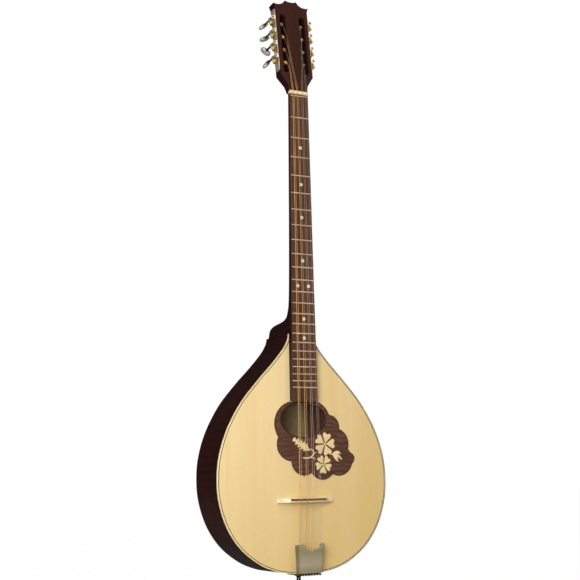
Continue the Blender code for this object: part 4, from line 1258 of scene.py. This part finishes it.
def around_hole(grow):
    return ellipse((HOLE_X, HOLE_Y), HOLE_A + grow, HOLE_B + grow, 120)


guard_hole = around_hole(0.5)
add("pickguard_walnut", plate([guard_outline(), guard_hole], 0.01, GUARD_TOP), WALNUT,
    "walnut", "pickguard")
for name, loops in (
        ("pickguard_border", [guard_outline(-0.05), guard_outline(1.05)]),
        ("soundhole_border", [around_hole(1.2), [(x * 0.998, y) for x, y in guard_hole]])):
    add(name, plate(loops, 0.01, GUARD_TOP + 0.03), GUARD_EDGE, "walnut")

# ------------------------------------------------------------------ inlay
# fraction of the radius, angle in degrees from the petal's middle
PETAL = ((0.07, 0), (0.22, -22), (0.5, -29.5), (0.78, -31), (0.95, -26), (1.0, -14), (0.87, 0),
         (1.0, 14), (0.95, 26), (0.78, 31), (0.5, 29.5), (0.22, 22))
PETAL_SPREAD = 0.94
LARGE_FLOWER, SMALL_FLOWER = (38.6, -575.3), (35.3, -608.0)
BUD = [
    (51.6, -591.4), (54.5, -588.6), (58.0, -586.8), (62.4, -586.4), (66.0, -588.2),
    (68.4, -592.0), (64.8, -590.8), (62.4, -591.6), (66.2, -594.6), (70.6, -600.6),
    (66.6, -600.0), (62.2, -596.4), (61.8, -598.6), (63.4, -604.0), (59.2, -602.4),
    (56.2, -599.0), (53.6, -595.2)]


def petal(center, radius, degrees):
    points = []
    for share, spread in PETAL:
        angle = radians(degrees + spread * PETAL_SPREAD)
        points.append((radius * share * cos(angle), radius * share * sin(angle)))
    return [(center[0] + x, center[1] + y) for x, y in closed_curve(points, 4)]


def leaf(tip, base, width, teeth=5):
    """Leaf with saw-toothed sides."""
    tip, base = Vector(tip), Vector(base)
    axis = base - tip
    length = axis.length
    axis.normalize()
    across = Vector((axis.y, -axis.x))

    def side(sign):
        out = []
        for i in range(1, teeth + 1):
            f = i / (teeth + 1.0)
            half = 1.9 * width * f ** 0.75 * (1 - f) ** 0.35
            for slide, reach in ((-0.125, 1.12), (-0.045, 0.80), (0.03, 0.46)):
                point = tip + axis * (length * (f + slide)) + across * (sign * half * reach)
                out.append(tuple(point))
        return out
    return ([tuple(tip)] + side(1) + [tuple(base + across * 0.5), tuple(base - across * 0.5)]
            + list(reversed(side(-1))))


def ribbon(path, start_half, end_half):
    points = open_curve(path, 8)
    last = len(points) - 1
    left, right = [], []
    for i, (x, y) in enumerate(points):
        tangent = Vector(points[min(i + 1, last)]) - Vector(points[max(i - 1, 0)])
        tangent.normalize()
        across = Vector((tangent.y, -tangent.x)) * (
            start_half + (end_half - start_half) * i / last)
        left.append((x + across.x, y + across.y))
        right.append((x - across.x, y - across.y))
    return left + list(reversed(right))


def add_inlay(name, outline, extra=0.0, replaces=None):
    """extra raises or sinks a piece so that overlapping faces stay apart."""
    bm = plate([outline], GUARD_TOP - 0.4, GUARD_TOP + 0.07 + extra, top_round=0.05, steps=2)
    add(name, bm, INLAY_MAPLE, "maple", replaces)


for i in range(5):
    for size, center, radius, start in (("large", LARGE_FLOWER, 18.6, 74),
                                        ("small", SMALL_FLOWER, 14.8, 48)):
        add_inlay("petal_%s_%d" % (size, i + 1), petal(center, radius, start + 72 * i),
                  replaces="inlay_%s_flower" % size if i == 0 else None)
add_inlay("flower_eye_large", circle(LARGE_FLOWER, 1.5, 20), 0.01)
add_inlay("flower_eye_small", circle(SMALL_FLOWER, 1.2, 20), 0.01)
add_inlay("leaf", leaf((-19.6, -566.6), (10.5, -585.5), 7.6), replaces="inlay_leaf_stem")
add_inlay("bud", BUD, 0.004)
# name, half width at the start and end, extra height, path
for name, start_half, end_half, extra, path in (
        ("stem_bud", 0.7, 0.9, -0.02, [(44.5, -589.2), (48.0, -591.4), (52.5, -592.6)]),
        ("stem_main", 0.75, 1.2, -0.01, [
            (9.0, -585.3), (13.0, -583.6), (16.6, -585.6), (17.4, -589.5), (15.6, -593.5),
            (12.0, -596.2), (6.0, -597.6), (-2.0, -597.2)]),
        ("stem_branch_up", 0.75, 0.55, -0.03,
         [(16.2, -592.2), (19.0, -590.0), (22.6, -588.2)]),
        ("stem_branch_down", 0.75, 0.55, -0.03,
         [(11.0, -596.7), (15.5, -597.1), (20.6, -599.6)])):
    add_inlay(name, ribbon(path, start_half, end_half), extra)

# ------------------------------------------------------------------ bridge and saddle
BRIDGE_HALF, BRIDGE_Y = 50.0, -663.8


def bridge_row(x):
    top = monotone((0, 28.0, 31.0, 33.5, 37.5, 43.0, 48.0, 49.4, BRIDGE_HALF),
                   (12.5, 12.4, 11.6, 9.8, 6.8, 4.5, 3.6, 3.0, 1.6), abs(x))
    bottom = monotone((0, 15.0, 20.0, 22.5, 24.0), (2.9, 2.6, 1.7, 0.6, 0.05), abs(x))
    foot = 4.6 * (1 - 0.12 * max(0.0, (abs(x) - 44) / 6) ** 2)
    crest = min(foot, 3.1 + 0.9 * max(0.0, 1 - top / 12.5))
    radius = min(0.9, (top - bottom) * 0.3)
    half = [(foot + (crest - foot) * f ** 0.7, bottom + (top - bottom) * f)
            for f in (0.0, 0.06, 0.3, 0.6, 0.85)]
    for k in range(5):
        a = pi / 2 * k / 4
        half.append((crest - radius * (1 - cos(a)), top - radius + radius * sin(a)))
    return ([(x, BRIDGE_Y + y, z) for y, z in half]
            + [(x, BRIDGE_Y - y, z) for y, z in reversed(half)])


add("bridge_maple", loft([bridge_row(-BRIDGE_HALF + 2 * BRIDGE_HALF * k / 120)
                          for k in range(121)]),
    BRIDGE_MAPLE, "maple", "bridge", sharp=50)

# section of the saddle from its tail side over to the neck: y, fall below the top
SADDLE_PROFILE = ((-664.15, 1.3), (-663.7, 0.5), (-662.9, 0.0), (-662.2, 0.15), (-661.4, 0.9),
                  (-661.25, 1.8))
SADDLE_FOOT = 11.0
xs = sorted(set([-SADDLE_HALF + 2 * SADDLE_HALF * k / 80 for k in range(81)]
                + [x + d for x in SADDLE_XS for d in (-0.6, -0.35, 0.0, 0.35, 0.6)]))
rows = []
for x in xs:
    top = (SADDLE_TOP - notch_depth(x, SADDLE_XS, SADDLE_NOTCH)
           - end_drop(x, SADDLE_HALF, run=1.2, drop=0.8))
    rows.append([(x, SADDLE_PROFILE[0][0], SADDLE_FOOT)]
                + [(x, y, top - fall) for y, fall in SADDLE_PROFILE]
                + [(x, SADDLE_PROFILE[-1][0], SADDLE_FOOT)])
add("saddle_rosewood", loft(rows), SADDLE_WOOD, "rosewood", "bridge_saddle", sharp=50)

# ------------------------------------------------------------------ tailpiece cover
BEND_R = 3.6


def cover_size(y):
    """Half width and height of the face, which grow towards the bridge."""
    t = (y - COVER_BOTTOM) / 45.5
    return 20.6 + 1.7 * t, 12.9 + 5.0 * t


def fold(sheet_x, y):
    """Wraps a point of the flat sheet round the two long bends."""
    half, height = cover_size(y)
    half += 1.6 if sheet_x < 0 else 0.0
    reach = abs(sheet_x)
    flat = half - BEND_R
    if reach <= flat:
        x, z = reach, height
    elif reach <= flat + BEND_R * pi / 2:
        angle = (reach - flat) / BEND_R
        x, z = flat + BEND_R * sin(angle), height - BEND_R * (1 - cos(angle))
    else:
        x, z = half, height - BEND_R - (reach - flat - BEND_R * pi / 2)
    if reach < 20:
        z += 0.35 * (1 - (reach / 24.0) ** 2)          # the face is slightly crowned
    return (x if sheet_x >= 0 else -x, z)


def flange_x(y, z):
    """Place on the flat sheet of a flange point at height z."""
    half, height = cover_size(y)
    return half - BEND_R + BEND_R * pi / 2 + (height - BEND_R - z)


# treble half of the flat sheet: the wavy bridge end, the flange, then the tail end
top_corner = flange_x(-732.6, 4.0)
tail_corner = flange_x(-775.7, 2.7)
sheet_half = (
    [(0.0, -744.2)]
    + open_curve([(1.3, -743.4), (4.0, -741.2), (6.6, -739.9), (8.4, -739.9), (10.2, -739.4),
                  (12.2, -738.6), (13.6, -736.6), (14.6, -733.6), (16.2, -731.2),
                  (18.4, -730.6), (20.6, -731.2), (22.6, -731.9)], 3)
    + [(top_corner - 1.5, -732.4), (top_corner - 0.4, -732.9), (top_corner + 0.9, -734.6)]
    + [(flange_x(y, 2.7), y) for y in (-738.0, -746.0, -754.0, -762.0, -770.0)]
    + [(tail_corner - 0.1, -774.7), (tail_corner - 0.9, -776.1), (tail_corner - 2.0, -776.65)]
    + [(x, COVER_BOTTOM) for x in (24.0, 20.0, 14.0, 7.0)])
sheet = (sheet_half + [(0.0, COVER_BOTTOM)]
         + [(-x, y) for x, y in reversed(sheet_half) if x > 0])
bm = bmesh.new()
ring = [bm.verts.new((x * MM, y * MM, 0)) for x, y in sheet]
edges = [bm.edges.new((v, ring[(i + 1) % len(ring)])) for i, v in enumerate(ring)]
bmesh.ops.triangle_fill(bm, use_beauty=True, use_dissolve=False, edges=edges,
                        normal=(0, 0, 1))
bisect(bm, [side * (18.2 + 0.42 * k) for side in (-1, 1) for k in range(14)]
       + [4.5 * k for k in range(-3, 4)], axis=0)
bisect(bm, [-774 + 4.0 * k for k in range(11)])
for v in bm.verts:
    x, z = fold(v.co.x / MM, v.co.y / MM)
    v.co.x, v.co.z = x * MM, z * MM
bmesh.ops.recalc_face_normals(bm, faces=bm.faces[:])
if sum(face.normal.z * face.calc_area() for face in bm.faces) < 0:
    bmesh.ops.reverse_faces(bm, faces=bm.faces[:])
cover = place("tailpiece_cover_sheet", bm, COVER_STEEL, TAIL_M)
solidify = cover.modifiers.new("sheet", 'SOLIDIFY')
solidify.thickness = 0.9 * MM
solidify.offset = -1.0
solidify.use_even_offset = True
bevel = cover.modifiers.new("edge", 'BEVEL')
bevel.width = 0.28 * MM
bevel.segments = 3
bevel.limit_method = 'ANGLE'
bevel.angle_limit = radians(50)
cover.modifiers.new("wn", 'WEIGHTED_NORMAL').keep_sharp = True
register(cover, "tailpiece_cover")

# ------------------------------------------------------------------ tailpiece base
# a leg on the soundboard, a bend over the tail and a flange with the end pin's hole
BASE_HALF, BEND_Y = 20.0, -778.35
FLANGE_FACES = (778.55, 779.7)
leg = [(-20, -778.4), (20, -778.4), (20, -755.0), (18, -753.0), (-18, -753.0), (-20, -755.0)]
add("tail_base_leg", plate([leg], 0.04, 1.45, top_round=0.3, steps=3), BASE_PLATE, "nickel",
    "tailpiece_base", matrix=TAIL_M, weighted=True)
bend = [(radius, pi / 2 * share) for radius, share in
        [(1.35, k / 8) for k in range(9)] + [(0.25, 1 - k / 3) for k in range(4)]]
add("tail_base_bend", loft([
    [(x, BEND_Y - radius * sin(a), 0.1 + radius * cos(a)) for radius, a in bend]
    for x in (-BASE_HALF, -19.7, 19.7, BASE_HALF)]), BASE_PLATE, "nickel", matrix=TAIL_M)
# local y runs out of the soundboard and z down past the tail
FLANGE_M = BODY_M @ Matrix(((1, 0, 0, 0), (0, 0, -1, 0), (0, 1, 0, 0), (0, 0, 0, 1)))
flange_half = [(6, -41.0), (12.0, -40.0), (17.5, -36.0), (BASE_HALF, -30.0)]
flange = ([(-BASE_HALF, 0.12)] + open_curve(mirror(flange_half) + flange_half, 4)
          + [(BASE_HALF, 0.12)])
flange = [(x + TAIL_X, y) for x, y in flange]
add("tail_base_flange", plate([flange, circle((0, FRONT_Y), 3.6, 32)], *FLANGE_FACES,
                              top_round=0.3, steps=3),
    BASE_PLATE, "nickel", matrix=FLANGE_M, weighted=True)
for i, x in enumerate((TAIL_X - 13.0, TAIL_X + 13.0)):
    add_screw("tail_screw_%d" % (i + 1), FLANGE_M @ shift(x, -12.0, FLANGE_FACES[1]),
              radius=2.6, height=1.3, slot_angle=0.6 + 1.4 * i)

# hooks: a stem given by y and z, and a turned knob given by radius and distance
HOOK_STEM = open_curve([(-778.1, 0.9), (-778.1, 2.8), (-778.15, 4.6), (-778.25, 5.8),
                        (-778.4, 6.8), (-778.6, 7.6), (-778.9, 8.3)], 3)
HOOK_KNOB = [(0.0, -1.75), (0.9, -1.6), (1.5, -1.05), (1.78, -0.2), (1.72, 0.5), (1.3, 1.15),
             (0.7, 1.45), (0.0, 1.5)]
for i, x in enumerate(HOOK_XS):
    bm = tube([(x, y, z) for y, z in HOOK_STEM],
              [0.95] * (len(HOOK_STEM) - 3) + [1.0, 1.15, 1.0], 12)
    revolve(HOOK_KNOB, 16, shift(x, -779.1, 9.0) @ turn(radians(35), 'X'), bm)
    add("string_hook_%d" % (i + 1), bm, HOOK_METAL, "nickel")

# the end pin stands on the frame's own Z axis: radius, frame Z
END_PIN = [
    (0.0, 0.0), (3.6, 0.0), (4.4, 0.25), (5.0, 0.8), (5.25, 1.6), (5.15, 2.5), (4.6, 3.4),
    (3.8, 4.2), (3.45, 5.2), (3.4, 8.6), (3.7, 9.4), (4.8, 10.1), (5.9, 10.7), (6.35, 11.4),
    (6.4, 12.6), (6.2, 13.1), (3.05, 13.15), (3.0, 20.0), (2.2, 28.0), (0.0, 28.0)]
add("end_pin_turned", revolve(END_PIN, 40), PIN_CHROME, "steel", "end_pin",
    matrix=Matrix.Identity(4), sharp=40)


# ------------------------------------------------------------------ strings
def head_to_body(x, y, z):
    return tuple(c / MM for c in BODY_M.inverted() @ (HEAD_M @ (Vector((x, y, z)) * MM)))


def slot_entry(start_x, end_x, end_y, margin):
    """How far up the head a string runs before it is clear inside its slot."""
    radius = SLOT_R - margin
    y = 20.0
    while y < end_y - 4.0:
        x = abs(start_x + (end_x - start_x) * y / end_y)
        center = min(max(y, SLOT_ENDS[0] + SLOT_R), SLOT_ENDS[1] - SLOT_R)
        if (x - SLOT_X) ** 2 + (y - center) ** 2 < radius * radius:
            return y
        y += 0.25
    return y


def string_path(k, saddle_z):
    """From the hook over the saddle, zero fret and nut to the barrel."""
    radius, hook_x, nut_x, saddle_x = STRING_R[k], HOOK_XS[k], NUT_XS[k], SADDLE_XS[k]
    sign, index = (-1, k) if k < 4 else (1, 7 - k)
    barrel_x, barrel_y = sign * BARREL_XS[sign][index], ROLLER_YS[index]
    fret_z = BOARD_TOP + 0.01 + FRET_H + ZERO_FRET_EXTRA + lean_z(0) + radius
    nut_z = NUT_TOP + lean_z(5.0) + radius
    entry = slot_entry(nut_x, barrel_x, barrel_y, radius + 0.45)
    entry_x = nut_x + (barrel_x - nut_x) * entry / barrel_y
    barrel_z = -(ROLLER_DEPTH - BARREL_R - radius)
    return [
        (hook_x, -777.5, 5.0), (hook_x + (saddle_x - hook_x) * 0.04, -773.0, 5.3),
        (saddle_x, -664.0, saddle_z - 0.25), (saddle_x, -662.9, saddle_z),
        (saddle_x, -661.6, saddle_z - 0.02),
        (nut_x, -0.6, fret_z), (nut_x, 0.6, fret_z - 0.03),
        (nut_x, 4.4, nut_z), (nut_x, 7.0, nut_z - 0.15),
        head_to_body(entry_x, entry, 0.5 + radius),
        head_to_body(barrel_x, barrel_y - 0.9, barrel_z - 0.12),
        head_to_body(barrel_x, barrel_y + 0.2, barrel_z)]


def loop_mesh(k, saddle_z, wrap_r=0.24):
    """A ring over the hook and a wire twisted round the string."""
    radius, hook_x, saddle_x = STRING_R[k], HOOK_XS[k], SADDLE_XS[k]
    angles = [2 * pi * q / 20 for q in range(20)]
    ring = [(hook_x + 1.35 * sin(a), -778.4 + 1.9 * cos(a), 4.6 + 0.3 * cos(a))
            for a in angles]
    bm = tube(ring, max(wrap_r, radius * 0.8), 8, closed=True)
    turns, steps, away = 9, 72, radius + wrap_r
    twist = []
    for q in range(steps + 1):
        a = 2 * pi * q / steps * turns
        y = -776.7 + 9.0 * q / steps
        x = hook_x + (saddle_x - hook_x) * (y + 777.5) / 113.5
        z = 5.0 + (saddle_z - 5.0) * (y + 776.0) / 113.5
        twist.append((x + away * cos(a), y, z + away * sin(a)))
    return tube(twist, wrap_r, 6, bm=bm)


for k in range(8):
    saddle_z = SADDLE_TOP - SADDLE_NOTCH + STRING_R[k]
    add("string_wire_%d" % (k + 1), tube(string_path(k, saddle_z), STRING_R[k]),
        *WIRE_LOOKS[k], "string_%d" % (k + 1), sharp=80)
    add("string_loop_%d" % (k + 1), loop_mesh(k, saddle_z), *COIL_LOOKS[k], sharp=80)

# ------------------------------------------------------------------ floor and world
BACKDROP = 1.02                          # brightness of floor and sky as the camera sees them

bm = bmesh.new()
bmesh.ops.create_grid(bm, x_segments=2, y_segments=2, size=9.0)
floor_mesh = bpy.data.meshes.new("floor")
bm.to_mesh(floor_mesh)
bm.free()
floor = bpy.data.objects.new("floor", floor_mesh)
floor.location = (0, 0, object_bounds()[0].z - 0.0006)
SCENE.collection.objects.link(floor)

mat = Material("pale_floor")
mat.finish(Base_Color=(0.32, 0.30, 0.28), Roughness=0.9, Specular_IOR_Level=0.1)
glow = mat.new("Emission", {"Strength": BACKDROP})
glow_share = 0.97                        # of the floor, for camera rays only
camera_ray = mat.new("LightPath").outputs["Is Camera Ray"]
mixed = mat.new("MixShader", {0: mat.mul(camera_ray, glow_share),
                              1: mat.tree.nodes["Principled BSDF"].outputs[0],
                              2: glow.outputs[0]})
mat.put(mat.tree.nodes["Material Output"], {"Surface": mixed.outputs[0]})
floor_mesh.materials.append(mat.material)

world = bpy.data.worlds.new("studio")
SCENE.world = world
world.use_nodes = True
sky = Nodes(world.node_tree)
sky_y = sky.xyz(sky.new("TexCoord").outputs["Generated"])[1]
# brighter in front of the instrument than behind it
light = sky.span(sky_y, between=(-0.6, 0.5), to=(0.32, 0.05))
camera_ray = sky.new("LightPath").outputs["Is Camera Ray"]
strength = sky.new("Mix", {0: camera_ray, 2: light, 3: BACKDROP}, data_type='FLOAT')
sky.put(sky.tree.nodes["Background"], {"Strength": strength.outputs[0], "Color": (1, 1, 1)})


# ------------------------------------------------------------------ lights and camera, metres
def area_light(name, location, target, size, power, color, size_y=None):
    lamp = bpy.data.lights.new(name, 'AREA')
    lamp.energy = power
    lamp.size = size
    if size_y:
        lamp.shape = 'RECTANGLE'
        lamp.size_y = size_y
    lamp.color = color
    ob = bpy.data.objects.new(name, lamp)
    ob.location = location
    ob.rotation_mode = 'QUATERNION'
    ob.rotation_quaternion = (Vector(target) - Vector(location)).to_track_quat('-Z', 'Y')
    SCENE.collection.objects.link(ob)


MIDDLE = Vector((0, -0.03, 0.42))
area_light("key", MIDDLE + Vector((0.66, -1.0, 1.0)).normalized() * 2.1, MIDDLE,
           size=0.6, power=11.3, color=(1.0, 0.865, 0.56))
area_light("left_soft", MIDDLE + Vector((-0.85, -0.85, -0.10)),
           MIDDLE + Vector((0, 0, -0.12)), size=0.7, size_y=1.1, power=19.0,
           color=(0.96, 0.98, 1.0))
area_light("rear_fill", MIDDLE + Vector((1.3, 1.5, 0.9)), MIDDLE, size=1.0, power=18,
           color=(1.0, 0.97, 0.93))

lens = bpy.data.cameras.new("camera")
camera = bpy.data.objects.new("camera", lens)
SCENE.collection.objects.link(camera)
lens.sensor_width = 36.0
lens.lens = 74.1041379
lens.clip_start = 0.02
lens.clip_end = 60.0
yaw, pitch, roll = radians(-27.97286), radians(-9.054), radians(-1.26919)
forward = Vector((-sin(yaw) * cos(pitch), cos(yaw) * cos(pitch), -sin(pitch)))
level = Vector((cos(yaw), sin(yaw), 0))
upright = level.cross(forward)
right = level * cos(roll) + upright * sin(roll)
up = -level * sin(roll) + upright * cos(roll)
camera.matrix_world = (Matrix.Translation((-0.918371, -1.721404, 0.160945))
                       @ Matrix((right, up, -forward)).transposed().to_4x4())
SCENE.camera = camera
